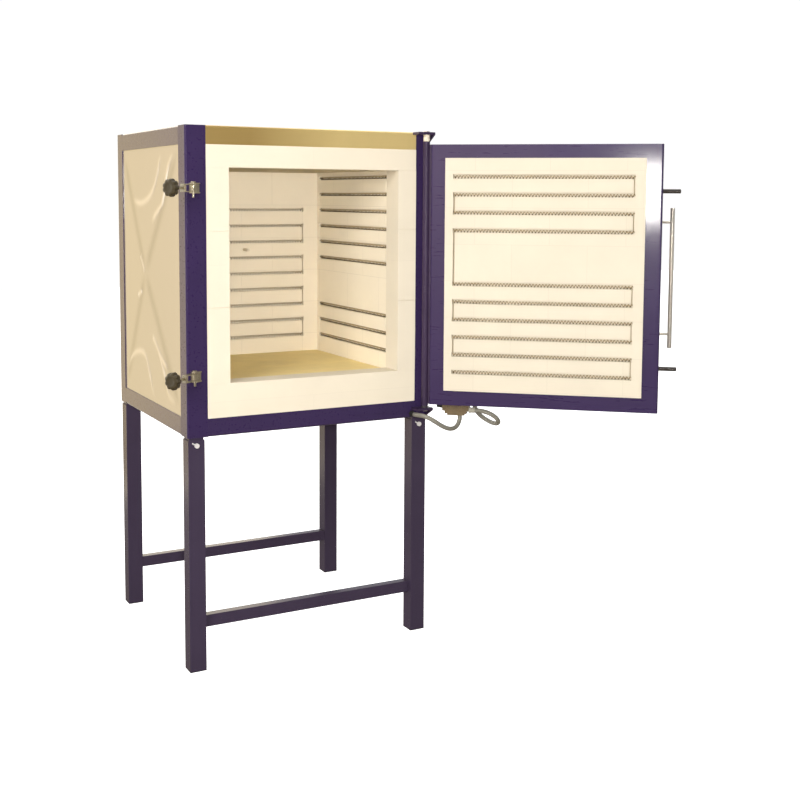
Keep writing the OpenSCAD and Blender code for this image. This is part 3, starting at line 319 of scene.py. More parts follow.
def group(name, inputs, outputs, build):
    """A shader node group, built once and shared by the materials."""
    tree = bpy.data.node_groups.get(name)
    if tree is None:
        tree = bpy.data.node_groups.new(name, "ShaderNodeTree")
        kinds = {float: "NodeSocketFloat", tuple: "NodeSocketColor", Vector: "NodeSocketVector"}
        for label, default in inputs.items():
            socket = tree.interface.new_socket(label, in_out="INPUT", socket_type=kinds[type(default)])
            socket.default_value = default
        for label, kind in outputs.items():
            tree.interface.new_socket(label, in_out="OUTPUT", socket_type=kinds[kind])
        taken = tree.nodes.new("NodeGroupInput").outputs
        given = tree.nodes.new("NodeGroupOutput").inputs
        for label, socket in build(tree, taken).items():
            tree.links.new(socket, given[label])
    return tree


def build_mottle(tree, taken):
    cloud = noise(tree, object_place(tree), taken["Scale"], 6.0, 0.62)[0]
    amount = maths(tree, "MULTIPLY", ramp(tree, cloud, 0.35, 0.68), taken["Amount"])
    return {"Colour": mix(tree, amount, taken["Colour"], taken["Shade"])}


def mottle():
    """Slow change of colour over a surface."""
    inputs = {"Colour": (0.5, 0.5, 0.5, 1.0), "Shade": (0.4, 0.4, 0.4, 1.0), "Scale": 6.0, "Amount": 0.5}
    return group("Mottle", inputs, {"Colour": tuple}, build_mottle)


def build_grain(tree, taken):
    drawn = put(tree, "VectorMath", {0: object_place(tree), 1: taken["Stretch"]}, operation="MULTIPLY")[0]
    fine = noise(tree, drawn, taken["Scale"], 4.0, 0.55)[0]
    return {"Height": fine, "Roughness": ramp(tree, fine, 0.3, 0.7, taken["Smooth"], taken["Rough"])}


def grain():
    """Fine relief and the change of gloss that goes with it; Stretch draws it out along an axis."""
    inputs = {"Scale": 400.0, "Stretch": Vector((1, 1, 1)), "Smooth": 0.3, "Rough": 0.5}
    return group("Grain", inputs, {"Height": float, "Roughness": float}, build_grain)


def build_scuffs(tree, taken):
    place = object_place(tree)
    bent = noise(tree, place, 9.0, 2.0)["Color"]
    warped = put(tree, "VectorMath", {0: place, 1: bent}, operation="ADD")[0]
    cells = put(tree, "TexVoronoi", {"Vector": warped, "Scale": taken["Scale"]},
                feature="DISTANCE_TO_EDGE")["Distance"]
    line = ramp(tree, cells, 0.0, taken["Width"], 1.0, 0.0)
    patch = ramp(tree, noise(tree, place, 14.0, 3.0)[0], 0.56, 0.70)
    return {"Mask": maths(tree, "MULTIPLY", line, patch)}


def scuffs():
    """Thin scratches gathered in patches."""
    return group("Scuffs", {"Scale": 18.0, "Width": 0.02}, {"Mask": float}, build_scuffs)


def build_courses(tree, taken):
    along = put(tree, "VectorMath", {0: object_place(tree), 1: taken["Along"]},
                operation="DOT_PRODUCT")["Value"]
    flat = put(tree, "CombineXYZ", {0: along, 1: object_axes(tree)[2]})[0]
    brick = put(tree, "TexBrick",
                {"Vector": flat, "Color1": (1, 1, 1, 1), "Color2": (0, 0, 0, 1),
                 "Mortar": (0.5, 0.5, 0.5, 1), "Scale": 1.0, "Mortar Size": taken["Joint"],
                 "Mortar Smooth": 0.4, "Bias": 0.0, "Brick Width": taken["Length"],
                 "Row Height": taken["Height"]})
    return {"Joint": brick[1], "Brick": brick[0]}


def courses():
    """Bricks laid in courses: a mask for the joints, and a shade that differs from brick to brick."""
    inputs = {"Along": Vector((1, 0, 0)), "Length": 0.23, "Height": 0.114, "Joint": 0.0007}
    return group("Brick Courses", inputs, {"Joint": float, "Brick": tuple}, build_courses)


# Materials

def finish_of(context):
    return context.scene.kiln_finish


def four(colour, factor=1.0):
    """A colour with alpha, made paler or darker by a factor."""
    return (colour[0] * factor, colour[1] * factor, colour[2] * factor, 1.0)


def start_material(name):
    made = bpy.data.materials.new(name)
    made.use_nodes = True
    return made, made.node_tree


def sockets_of(material):
    """The sockets of a material's shader."""
    return material.node_tree.nodes["Principled BSDF"].inputs


def effect(tree, shared, **values):
    """Outputs of a shared node group, placed with its own values."""
    return put(tree, "Group", values, node_tree=shared)


def settle(material, values):
    """Sets or links the sockets of a material's shader."""
    for name, value in values.items():
        socket = sockets_of(material)[name]
        if isinstance(value, bpy.types.NodeSocket):
            material.node_tree.links.new(value, socket)
        else:
            socket.default_value = value


def tint(material, amount, colour):
    """Mixes a colour into a material's own, by a mask in its node tree."""
    shown = sockets_of(material)["Base Color"].links[0].from_socket
    settle(material, {"Base Color": mix(material.node_tree, amount, shown, colour)})


def mark_of(material, name):
    """What a piece's points hold under a name."""
    return put(material.node_tree, "Attribute", attribute_name=name)["Fac"]


def surface(name, colour, shade=0.75, spread=6.0, amount=0.5, scale=400.0, stretch=(1, 1, 1), smooth=0.3,
            rough=0.5, relief=0.00005, worn=None, metallic=0.0, coat=0.0, coat_rough=0.08, specular=0.5):
    """A material of mottled colour and fine grain, with scuffs where worn gives a strength and a colour."""
    made, tree = start_material(name)
    shown = effect(tree, mottle(), Colour=four(colour), Shade=four(colour, shade), Scale=spread,
                   Amount=amount)["Colour"]
    fine = effect(tree, grain(), Scale=scale, Stretch=stretch, Smooth=smooth, Rough=rough)
    if worn:
        strength, scuff_and_shade = worn
        faint = maths(tree, "MULTIPLY", effect(tree, scuffs())["Mask"], strength)
        shown = mix(tree, faint, shown, four(scuff_and_shade))
    lifted = put(tree, "Bump", {"Strength": 0.6, "Distance": relief, "Height": fine["Height"]})
    settle(made, {"Base Color": shown, "Roughness": fine["Roughness"], "Normal": lifted[0],
                  "Metallic": metallic, "Coat Weight": coat, "Coat Roughness": coat_rough,
                  "Specular IOR Level": specular})
    return made


def brick_material(name, colour, along, joint=0.35, length=0.23, height=0.114):
    """Chalky firebrick with faint joints, pores and a shade that differs from brick to brick."""
    made, tree = start_material(name)
    laid = effect(tree, courses(), Along=along, Length=length, Height=height)
    base = effect(tree, mottle(), Colour=four(colour), Shade=four(colour, 0.9), Scale=5.0, Amount=0.5)
    fine = effect(tree, grain(), Scale=420.0, Smooth=0.8, Rough=0.98)
    shade = maths(tree, "MULTIPLY", laid["Brick"], 0.10)
    shown = mix(tree, shade, base["Colour"], four(colour, 0.86))
    line = maths(tree, "MULTIPLY", laid["Joint"], joint)
    shown = mix(tree, line, shown, four(colour, 0.55))
    pore = put(tree, "TexVoronoi", {"Vector": object_place(tree), "Scale": 260.0})[0]
    shown = mix(tree, ramp(tree, pore, 0.0, 0.16, 0.30, 0.0), shown, four(colour, 0.7))
    proud = maths(tree, "SUBTRACT", fine["Height"], laid["Joint"])
    lifted = put(tree, "Bump", {"Strength": 0.5, "Distance": 0.0004, "Height": proud})
    settle(made, {"Base Color": shown, "Roughness": fine["Roughness"], "Normal": lifted[0],
                  "Specular IOR Level": 0.2})
    return made


def ceramic_material(name):
    """Fine pale ceramic."""
    return surface(name, (0.84, 0.75, 0.60), shade=0.8, spread=30, scale=500, smooth=0.4, rough=0.65,
                   relief=0.00008)


def glow_material(name, build):
    """A material that only glows, in the colour and at the strength that build gives."""
    made, tree = start_material(name)
    tree.nodes.clear()
    colour, strength = build(tree)
    shine = put(tree, "Emission", {"Color": colour, "Strength": strength})
    put(tree, "OutputMaterial", {"Surface": shine[0]})
    return made


def build_pale_glow(tree):
    """Pale, and stronger with height."""
    return (1.0, 0.85, 0.76, 1), ramp(tree, object_axes(tree)[2], 0.0, 2.0, 0.28, 1.9)


def build_reflector_glow(tree):
    """Warm, dimmer round its middle and bright beyond that, which draws the polished sheets' lines."""
    place = object_axes(tree)
    outside = []
    for along, middle, half in zip((place[0], place[2]), REFLECTOR_MIDDLE, REFLECTOR_HALF):
        off = maths(tree, "ABSOLUTE", maths(tree, "SUBTRACT", along, middle))
        outside.append(ramp(tree, off, half, half + 1))
    corner = put(tree, "CombineXYZ", {0: outside[0], 1: outside[1]})[0]
    away = put(tree, "VectorMath", {0: corner}, operation="LENGTH")["Value"]
    glow = mix(tree, ramp(tree, away, 0.02, 0.16), (1.45, 1.16, 0.63, 1), (0.95, 0.76, 0.41, 1))
    return mix(tree, ramp(tree, away, 0.30, 0.48), glow, (3.2, 2.9, 2.3, 1)), 1.0


def dress(material, *names):
    """Puts a material on CAD nodes."""
    for name in names:
        slots = NODES[name].data.materials
        slots.clear()
        slots.append(material)


def soften(width, *names):
    """Rounds the edges of CAD nodes by a width in millimetres."""
    for name in names:
        node = NODES[name]
        weld = node.modifiers.new("weld", "WELD")
        weld.merge_threshold = WELD_GAP
        edge = node.modifiers.new("rounded_edges", "BEVEL")
        edge.width = width * MM
        edge.segments = 2
        edge.limit_method = "ANGLE"
        edge.angle_limit = SHARP_EDGE
        normals = node.modifiers.new("even_shading", "WEIGHTED_NORMAL")
        normals.keep_sharp = True


# Meshes

def show(name, data):
    """An object of a mesh, lamp or camera, put in the scene."""
    made = bpy.data.objects.new(name, data)
    bpy.context.scene.collection.objects.link(made)
    return made


class Build:
    """Gathers points and faces in millimetres, and makes one piece of them."""

    def __init__(self, matrix):
        self.matrix = matrix
        self.verts = []
        self.faces = []
        self.marks = []

    def add(self, verts, faces, local=None, mark=0.0):
        """Adds a mesh, moved by a local matrix, with one mark for all its points or one for each."""
        start = len(self.verts)
        move = self.matrix if local is None else self.matrix @ local
        placed = np.asarray(verts, float) @ np.array(move.to_3x3()).T + np.array(move.translation)
        self.verts.extend(placed.tolist())
        self.marks.extend(np.broadcast_to(mark, len(placed)).tolist())
        step = -1 if move.to_3x3().determinant() < 0 else 1
        self.faces.extend([[start + i for i in face][::step] for face in faces])

    def piece(self, name, body, material, node=None, mark=None):
        """Makes the piece, on a body and in a CAD node's place if given, and names its points' marks."""
        mesh = bpy.data.meshes.new(name)
        mesh.from_pydata(self.verts, [], self.faces)
        mesh.validate()
        mesh.polygons.foreach_set("use_smooth", [True] * len(mesh.polygons))
        mesh.materials.append(material)
        if mark:
            mesh.attributes.new(mark, "FLOAT", "POINT").data.foreach_set("value", self.marks)
        made = show(name, mesh)
        if body:
            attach(made, body)
        if node:
            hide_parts(node)
        return made


def ring_faces(rings, sides):
    """Faces between rings of points, and over the first and the last ring."""
    faces = []
    for i in range(rings - 1):
        for k in range(sides):
            m = (k + 1) % sides
            faces.append((i * sides + k, i * sides + m, (i + 1) * sides + m, (i + 1) * sides + k))
    faces.append(tuple(range(sides - 1, -1, -1)))
    faces.append(tuple((rings - 1) * sides + k for k in range(sides)))
    return faces


def extended(path):
    """A path carried on by one point beyond each end."""
    return np.vstack([2 * path[:1] - path[1:2], path, 2 * path[-1:] - path[-2:-1]])


def tube(path, radius, sides):
    """A round tube along a path; its rings are carried along without twist."""
    path = np.asarray(path, float)
    longer = extended(path)
    ahead = longer[2:] - longer[:-2]
    ahead /= np.linalg.norm(ahead, axis=1)[:, None]
    askew = (0.31, 0.59, 0.74)
    side = np.cross(ahead[0], askew)
    verts = []
    for centre, t in zip(path, ahead):
        side = side - t * (side @ t)
        side /= np.linalg.norm(side)
        up = np.cross(t, side)
        for k in range(sides):
            a = 2 * pi * k / sides
            verts.append(centre + radius * (cos(a) * side + sin(a) * up))
    return verts, ring_faces(len(path), sides)


def smooth_path(points, base, steps):
    """A curve through points measured from a base, with steps to each stretch, eased where it bends."""
    p = extended(np.asarray(points, float) + np.array(base))
    out = []
    for i in range(1, len(p) - 2):
        for s in range(steps):
            t = s / steps
            out.append(0.5 * (2 * p[i] + (p[i + 1] - p[i - 1]) * t
                              + (2 * p[i - 1] - 5 * p[i] + 4 * p[i + 1] - p[i + 2]) * t * t
                              + (3 * p[i] - p[i - 1] - 3 * p[i + 1] + p[i + 2]) * t ** 3))
    out.append(p[-2])
    out = np.array(out)
    for _ in range(EASING_ROUNDS):
        between = (out[steps - 1:-steps - 1] + out[steps + 1:len(out) - steps + 1]) / 2
        out[steps:-steps] += EASING * (between - out[steps:-steps])
    return out


def helix(start, length, radius, pitch, wire, sides=5, per_turn=9):
    """A coil of round wire along X."""
    turns = length / pitch
    count = int(turns * per_turn)
    a = np.linspace(0, 2 * pi * turns, count)
    none = np.zeros(count)
    radial = np.stack([none, np.cos(a), np.sin(a)], 1)
    ahead = np.stack([np.full(count, pitch / (2 * pi)), -radius * np.sin(a), radius * np.cos(a)], 1)
    ahead /= np.linalg.norm(ahead, axis=1)[:, None]
    across = np.cross(ahead, radial)
    centre = np.array(start) + np.stack([np.linspace(0, length, count), none, none], 1)
    centre += radius * radial
    around = 2 * pi * np.arange(sides) / sides
    ring = (np.cos(around)[None, :, None] * radial[:, None, :]
            + np.sin(around)[None, :, None] * across[:, None, :])
    return (centre[:, None, :] + wire / 2 * ring).reshape(-1, 3), ring_faces(count, sides)


def turned(profile, sides=28):
    """A solid along X, from its rings' places and radii."""
    angle = 2 * pi * np.arange(sides) / sides
    rings = [np.stack([np.full(sides, x), r * np.cos(angle), r * np.sin(angle)], 1) for x, r in profile]
    return np.concatenate(rings), ring_faces(len(rings), sides)


def rounded_corner(a, corner, b, radius, steps=5):
    """Points round a corner between two straight runs."""
    a, corner, b = (np.asarray(q, float) for q in (a, corner, b))
    p = corner + radius * (a - corner) / np.linalg.norm(a - corner)
    q = corner + radius * (b - corner) / np.linalg.norm(b - corner)
    return [(1 - t) ** 2 * p + 2 * t * (1 - t) * corner + t * t * q for t in np.linspace(0, 1, steps)]


# Pieces

class KILN_OT_cables(bpy.types.Operator):
    """Bend the cable between the casing and the door, and the loop back into the door"""

    bl_idname = "kiln.cables"
    bl_label = "Cables"

    def execute(self, context):
        size = context.scene.kiln_sizes
        sleeve = surface("cable_sleeve", finish_of(context).cable, shade=0.7, spread=25, amount=0.6,
                         scale=700, smooth=0.35, rough=0.55, relief=0.0001)
        for name, route, base, matrix, node in (
                ("door_cable_sleeve", DOOR_RUN, GLAND, CASING, "door_cable"),
                ("return_cable_sleeve", RETURN_RUN, DOOR_CORNER, DOOR, "return_cable")):
            path = smooth_path(route, base, CABLE_STEPS)
            run = Build(matrix)
            run.add(*tube(path, size.cable / 2 / MM, CABLE_SIDES))
            if node == "door_cable":
                made = run.piece(name, None, sleeve, node)
                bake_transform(made)
            else:
                made = run.piece(name, "door", sleeve, node)
        return {"FINISHED"}


def row_height(i):
    """Height of an element row's axis in the casing."""
    return CEILING_Z - ROW_DROP - (i - 1) * ROW_PITCH - COIL_SEAT


def painted_coil_shade(verts, height):
    """How much painted shade each point of a coil takes: full on its lower front, none on its back and top,
    which keep the wire's pale colour.
    """
    front = np.interp(verts[:, 1] - COIL_DEPTH, SHADE_DEPTHS, (1, 0))
    under = np.interp(verts[:, 2] - height, SHADE_HEIGHTS, (1, 0))
    return front * under


def link_path(x, inside, upper, lower):
    """A wire bent between two rows, with legs that reach into their coils."""
    top, low = row_height(upper), row_height(lower)
    bends = [(s, COIL_DEPTH, z) for s, z in ((inside, top), (x, top), (x, low), (inside, low))]
    corners = rounded_corner(*bends[:3], LINK_BEND) + rounded_corner(*bends[1:], LINK_BEND)
    return [bends[0], *corners, bends[3]]


def tail_path(i, start, end):
    """A row's tail, from one place along the row and into the wall to another."""
    return [(*start, row_height(i)), (*end, row_height(i))]


def element_run(build, wall, rows, links, ends, tails, size):
    """Coils, links and tails of one element, drawn with X along the rows and Y into the wall."""
    first, last = ends
    wire = size.wire / MM
    radius = COIL_D / 2 - wire / 2
    for i in rows:
        start = (first + COIL_GAP, COIL_DEPTH, row_height(i))
        verts, faces = helix(start, last - first - 2 * COIL_GAP, radius, size.coil_pitch / MM, wire)
        # Each coil's mark is its painted shade, strongest on its lower front.
        build.add(verts, faces, wall, mark=painted_coil_shade(verts, row_height(i)))
    for upper, lower, at_last in links:
        x = last - LINK_IN if at_last else first + LINK_IN
        inside = x - LINK_REACH if at_last else x + LINK_REACH
        build.add(*tube(link_path(x, inside, upper, lower), LINK_RADIUS, WIRE_SIDES), wall)
    for path in tails:
        # The tails take full painted shade.
        build.add(*tube(path, TAIL_RADIUS, WIRE_SIDES), wall, mark=1.0)


class KILN_OT_elements(bpy.types.Operator):
    """Wind the heating coils that lie in the grooves of the walls and the door"""

    bl_idname = "kiln.elements"
    bl_label = "Heating elements"

    def execute(self, context):
        size = context.scene.kiln_sizes
        wire = self.wire_material(finish_of(context).element)
        turn = Matrix.Rotation(pi / 2, 4, "Z")
        left_wall = Matrix.Translation((CHAMBER_X[0], 0, 0)) @ turn
        right_wall = Matrix.Translation((CHAMBER_X[1], 0, 0)) @ Matrix.Scale(-1, 4, (1, 0, 0)) @ turn
        back_wall = Matrix.Translation((0, CHAMBER_BACK, 0))
        door_face = Matrix.Translation((0, DOOR_FACE, 0)) @ Matrix.Scale(-1, 4, (0, 1, 0))

        sides = Build(CASING)
        ends = (COLLAR_DEPTH, WALL_GROOVE_END)
        lap = (WALL_GROOVE_END - TAIL_LAP, COIL_DEPTH)
        tails = [tail_path(i, lap, (TAIL_END, COIL_DEPTH)) for i in SIDE_TAILS]
        for wall in (left_wall, right_wall):
            element_run(sides, wall, SIDE_ROWS, SIDE_LINKS, ends, tails, size)
        sides.piece("side_wall_coils", "casing", wire, "side_elements", mark="scuff_and_shade")

        back = Build(CASING)
        tails = [tail_path(i, (x, COIL_DEPTH), (x, TAIL_END - CHAMBER_BACK)) for i, x in BACK_TAILS]
        element_run(back, back_wall, BACK_ROWS, BACK_LINKS, BACK_GROOVE_X, tails, size)
        back.piece("back_wall_coils", "casing", wire, "back_element", mark="scuff_and_shade")

        door = Build(DOOR)
        x = CHAMBER_X[1] - TAIL_INSET
        tails = [tail_path(i, (x, COIL_DEPTH), (x, DOOR_TAIL_END)) for i in DOOR_TAILS]
        element_run(door, door_face, DOOR_ROWS, DOOR_LINKS, CHAMBER_X, tails, size)
        door.piece("door_coils", "door", wire, "door_element", mark="scuff_and_shade")
        return {"FINISHED"}

    def wire_material(self, colour):
        """Oxidised wire in a pale colour, darkened by painted shade on the coils' lower fronts and on the
        tails.
        """
        made = surface("element_wire", colour, spread=40, amount=0.7, scale=600, smooth=0.45, rough=0.75,
                       relief=0.00004, specular=0.1)
        # Painted shade: the mark darkens the wire on the coils' lower fronts and on the tails.
        tint(made, mark_of(made, "scuff_and_shade"), four(colour, 0.16))
        return made


def ridge(x, y, line, width):
    """Height, up to 1, of a low ridge along a line; it fades towards the line's ends."""
    apart = np.hypot(x[..., None] - line[:, 0], y[..., None] - line[:, 1])
    along = apart.argmin(-1) / (len(line) - 1)
    return np.exp(-(apart.min(-1) / width) ** 2) * np.clip(np.minimum(along, 1 - along) / RIDGE_END, 0, 1)


def from_middle(share, middle):
    """How far a share lies from a middle, 1 being the edge on its side."""
    return np.where(share > middle, (share - middle) / (1 - middle), (middle - share) / middle)


def buckled_sheet(width, height, low, high, dent, flipped=False):
    """Points, faces and painted light of a thin sheet that has a cross break, creases along it, and ridges;
    the painted light is a highlight along the ridges and shade along the creases.
    """
    x = np.linspace(0, width, int(width / SHEET_STEP) + 1)
    y = np.linspace(0, height, int(height / SHEET_STEP) + 1)
    grid_x, grid_y = np.meshgrid(x, y)
    wide, tall = high[0] - low[0], high[1] - low[1]
    window = np.array((wide, tall))
    u = np.clip((grid_x - low[0]) / wide, 0, 1)
    v = np.clip((high[1] - grid_y) / tall, 0, 1)
    if flipped:
        u, v = 1 - u, 1 - v
    a = from_middle(u, SHEET_MIDDLE[0])
    b = from_middle(v, SHEET_MIDDLE[1])
    lifted = SHEET_RISE * (1 - (a ** BREAK_POWER + b ** BREAK_POWER) ** (1 / BREAK_POWER)).clip(0)
    crest = np.zeros_like(u)
    for points in SHEET_RIDGES:
        line = smooth_path(np.array(points) * window, (0, 0), RIDGE_STEPS)
        crest = np.maximum(crest, ridge(u * wide, v * tall, line, RIDGE_WIDTH))
    crease = np.zeros_like(u)
    for corner in ((0, 0), (1, 0), (0, 1), (1, 1)):
        arm = np.linspace(SHEET_MIDDLE, corner, CREASE_POINTS) * window
        crease = np.maximum(crease, ridge(u * wide, v * tall, arm, CREASE_WIDTH))
    edge = np.clip(EDGE_FADE * np.minimum(np.minimum(u, 1 - u), np.minimum(v, 1 - v)), 0, 1)
    lifted += dent * (crest - CREASE_DEPTH * crease) * edge
    # Painted light: positive along the ridges for a painted highlight, negative along the creases for
    # painted shade.
    painted_light = (crest - crease * (1 - crest)) * edge
    row = len(x)
    faces = [(j * row + i, j * row + i + 1, (j + 1) * row + i + 1, (j + 1) * row + i)
             for j in range(len(y) - 1) for i in range(row - 1)]
    verts = np.stack([grid_x, grid_y, lifted + SHEET_THICK], -1).reshape(-1, 3)
    return verts, faces, painted_light.ravel()


class KILN_OT_sheets(bpy.types.Operator):
    """Set the thin polished sheets into the sides, the roof, the back and the door"""

    bl_idname = "kiln.sheets"
    bl_label = "Sheets"

    def execute(self, context):
        dent = context.scene.kiln_sizes.dent / MM
        colour = finish_of(context).sheet
        polished = self.polished_material(colour)
        upright = Matrix.Rotation(pi / 2, 4, "X")
        left = CASING @ Matrix.Translation(LEFT_SHEET_AT) @ Matrix.Rotation(-pi / 2, 4, "Z") @ upright
        right = CASING @ Matrix.Translation(RIGHT_SHEET_AT) @ Matrix.Rotation(pi / 2, 4, "Z") @ upright
        outside = DOOR @ Matrix.Translation(DOOR_SHEET_AT) @ upright
        side_sheet = buckled_sheet(*SIDE_SHEET, dent)
        door_sheet = buckled_sheet(*DOOR_SHEET, dent, flipped=True)
        self.set_in("left_side_sheet", "left_panel", "casing", left, side_sheet, polished)
        self.set_in("right_side_sheet", "right_panel", "casing", right, side_sheet, polished)
        self.set_in("door_sheet", "door_skin", "door", outside, door_sheet, polished)
        plain = surface("plain_sheet", colour, shade=0.85, spread=4, amount=0.6, scale=260,
                        stretch=(1, 0.05, 1), smooth=0.34, rough=0.48, relief=0.00001, metallic=0.5)
        dress(plain, "back_panel", "roof_panel", "base_panel")
        return {"FINISHED"}

    def set_in(self, name, node, body, matrix, sheet, material):
        """Sets a thin sheet into its frame, in the node's place."""
        verts, faces, painted_light = sheet
        build = Build(matrix)
        build.add(verts, faces, mark=painted_light)
        made = build.piece(name, body, material, node, mark="painted_light")
        thick = made.modifiers.new("thickness", "SOLIDIFY")
        thick.thickness = SHEET_THICK * MM
        thick.offset = -1

    def polished_material(self, colour):
        """Polished sheet, painted with a highlight along its ridges and with shade along its creases."""
        made = surface("polished_sheet", colour, shade=0.94, spread=3, scale=300, stretch=(1, 1, 0.05),
                       smooth=0.36, rough=0.46, relief=0.000002, coat=1.0, specular=0.0)
        tree = made.node_tree
        settle(made, {"Coat IOR": 2.2})
        painted_light = mark_of(made, "painted_light")
        # Painted highlight along the ridges, and painted shade along the creases.
        tint(made, ramp(tree, painted_light, 0.0, 1.0), four(colour, 1.6))
        tint(made, ramp(tree, painted_light, 0.0, -1.0), four(colour, 0.68))
        return made


class KILN_OT_frame(bpy.types.Operator):
    """Finish the painted frame of the casing, the door and the stand, and the strip over the mouth"""

    bl_idname = "kiln.frame"
    bl_label = "Painted frame"

    def execute(self, context):
        colour = finish_of(context).paint
        satin = {"shade": 0.8, "spread": 7, "smooth": 0.26, "rough": 0.34}
        scuffed = {"scale": 160, "relief": 0.000008, "worn": (0.05, (0.10, 0.085, 0.12)), "specular": 0.18}
        enamel = surface("frame_enamel", colour, **satin, **scuffed, coat=0.45)
        posts = surface("post_enamel", colour, **satin, **scuffed, coat=0.12)
        door = surface("door_enamel", colour, **satin, scale=130, stretch=(0.1, 0.1, 1), relief=0.00008,
                       coat=0.48, coat_rough=0.1, specular=0.3)
        dulled = (colour[0] * 1.1, colour[1] * 1.1, colour[2] * 0.8)
        hinge = surface("hinge_enamel", dulled, shade=0.7, spread=12, amount=0.7, scale=300, rough=0.48,
                        relief=0.00002, worn=(0.4, (0.22, 0.21, 0.22)))
        stand = surface("stand_enamel", (0.050, 0.037, 0.068), shade=0.8, spread=7, scale=160, smooth=0.2,
                        rough=0.28, relief=0.000008, worn=(0.05, (0.09, 0.08, 0.10)), specular=0.15)
        dress(enamel, "rear_posts", "casing_rails", "terminal_cover")
        dress(posts, "front_left_post", "front_right_post")
        dress(door, "door_frame")
        dress(stand, "leg_spigots", "legs", "stand_rails")
        dress(hinge, "upper_hinge_bracket", "lower_hinge_bracket", "hinge_tube")
        dress(self.strip_material(finish_of(context).fascia), "front_fascia")
        soften(0.8, "legs", "stand_rails", "door_frame", "upper_hinge_bracket", "lower_hinge_bracket",
               "terminal_cover")
        soften(0.5, "front_left_post", "front_right_post", "rear_posts", "casing_rails", "front_fascia")
        return {"FINISHED"}

    def strip_material(self, colour):
        """Brushed strip, darker towards its left end: a painted reflection of the darker room it faces
        there.
        """
        made = surface("brushed_strip", colour, shade=0.85, spread=5, scale=300, stretch=(0.03, 1, 1),
                       smooth=0.28, rough=0.44, relief=0.00001, metallic=0.45)
        tree = made.node_tree
        # Painted reflection: the strip darkens towards its left end.
        tint(made, ramp(tree, object_axes(tree)[0], -0.2, 0.1, 1.0, 0.0), (0.418, 0.29, 0.102, 1))
        return made


class KILN_OT_lining(bpy.types.Operator):
    """Lay the firebrick of the chamber and the door, the floor plate and the backing boards"""

    bl_idname = "kiln.lining"
    bl_label = "Lining"

    def execute(self, context):
        colour = finish_of(context).brick
        across = (1, 0, 0)
        # Painted shade: the jambs, sill and lintel take the firebrick at 0.87 of its colour, and the door's
        # lining at 0.77.
        front = brick_material("firebrick_front", four(colour, 0.87), across, joint=0.12, length=0.7,
                               height=0.4)
        back = brick_material("firebrick_back", colour, across)
        side = brick_material("firebrick_side", colour, (0, 1, 0))
        door = brick_material("firebrick_door", four(colour, 0.77), DOOR_ALONG, joint=0.22)
        # Painted shade: the chamber's roof takes a darker, olive copy of the firebrick for the shade under
        # the lintel.
        shaded_roof = brick_material("firebrick_painted_shade", (0.60, 0.54, 0.40), across)
        board = surface("insulating_board", (0.68, 0.63, 0.54), shade=0.85, spread=8, scale=300, smooth=0.8,
                        rough=0.95, relief=0.0003)
        shelf = surface("ceramic_plate", finish_of(context).shelf, shade=0.8, spread=10, scale=350,
                        smooth=0.6, rough=0.85, relief=0.0002)
        dress(front, "jambs", "sill", "lintel", "vent_bung")
        dress(back, "back_wall", "chamber_floor")
        dress(shaded_roof, "chamber_roof")
        dress(side, "left_wall", "right_wall")
        dress(door, "door_lining")
        dress(board, "backing_boards", "door_backing")
        dress(shelf, "floor_plate")
        dress(ceramic_material("fine_ceramic"), "thermocouple")
        dress(self.bush_material(), "hinge_bushes")
        soften(1.5, "jambs", "sill", "lintel", "vent_bung", "floor_plate", "door_lining")
        return {"FINISHED"}

    def bush_material(self):
        """Pale at the upper hinge, and dark at the lower one."""
        made = ceramic_material("hinge_bush")
        tree = made.node_tree
        tint(made, ramp(tree, object_axes(tree)[2], 1.0, 1.1, 1.0, 0.0), (0.05, 0.045, 0.05, 1))
        return made


def knob_mesh(diameter, lobes):
    """A moulded knob on a boss, drawn along X."""
    sides = LOBE_SIDES * lobes
    angle = 2 * pi * np.arange(sides) / sides
    hollow = LOBE_DEPTH * (1 - np.abs(np.cos(lobes * angle / 2)) ** LOBE_ROUND)
    head = [(x, diameter / 2 * share * (1 - wave * hollow)) for x, share, wave in KNOB_HEAD]
    return turned([*KNOB_BOSS, *head], sides)


class KILN_OT_clamps(bpy.types.Operator):
    """Mould the clamps' knobs and finish their plated brackets, yokes and screws"""

    bl_idname = "kiln.clamps"
    bl_label = "Clamps"

    def execute(self, context):
        size = context.scene.kiln_sizes
        moulded = surface("moulded_knob", (0.045, 0.034, 0.016), shade=0.6, spread=40, scale=800,
                          smooth=0.34, rough=0.52, relief=0.00004)
        zinc = surface("plated_steel", (0.60, 0.54, 0.40), shade=0.7, spread=60, amount=0.6, scale=500,
                       smooth=0.22, rough=0.42, worn=(0.4, (0.75, 0.72, 0.66)), metallic=1.0)
        for name, z in CLAMP_HEIGHTS.items():
            arm = CASING @ Matrix.Translation((*PIVOT, z)) @ Matrix.Rotation(CLAMP_SWING, 4, "Z")
            knob = Build(arm @ Matrix.Translation((KNOB_AT, 0, 0)))
            knob.add(*knob_mesh(size.knob / MM, size.lobes))
            knob.piece(name + "_clamp_knob", name + "_screw", moulded, name + "_knob")
        dress(zinc, "clamp_brackets", "upper_yoke", "lower_yoke", "clamp_pins", "upper_pad", "lower_pad",
              "upper_screw", "lower_screw")
        soften(0.4, "clamp_brackets", "upper_yoke", "lower_yoke", "clamp_pins")
        return {"FINISHED"}


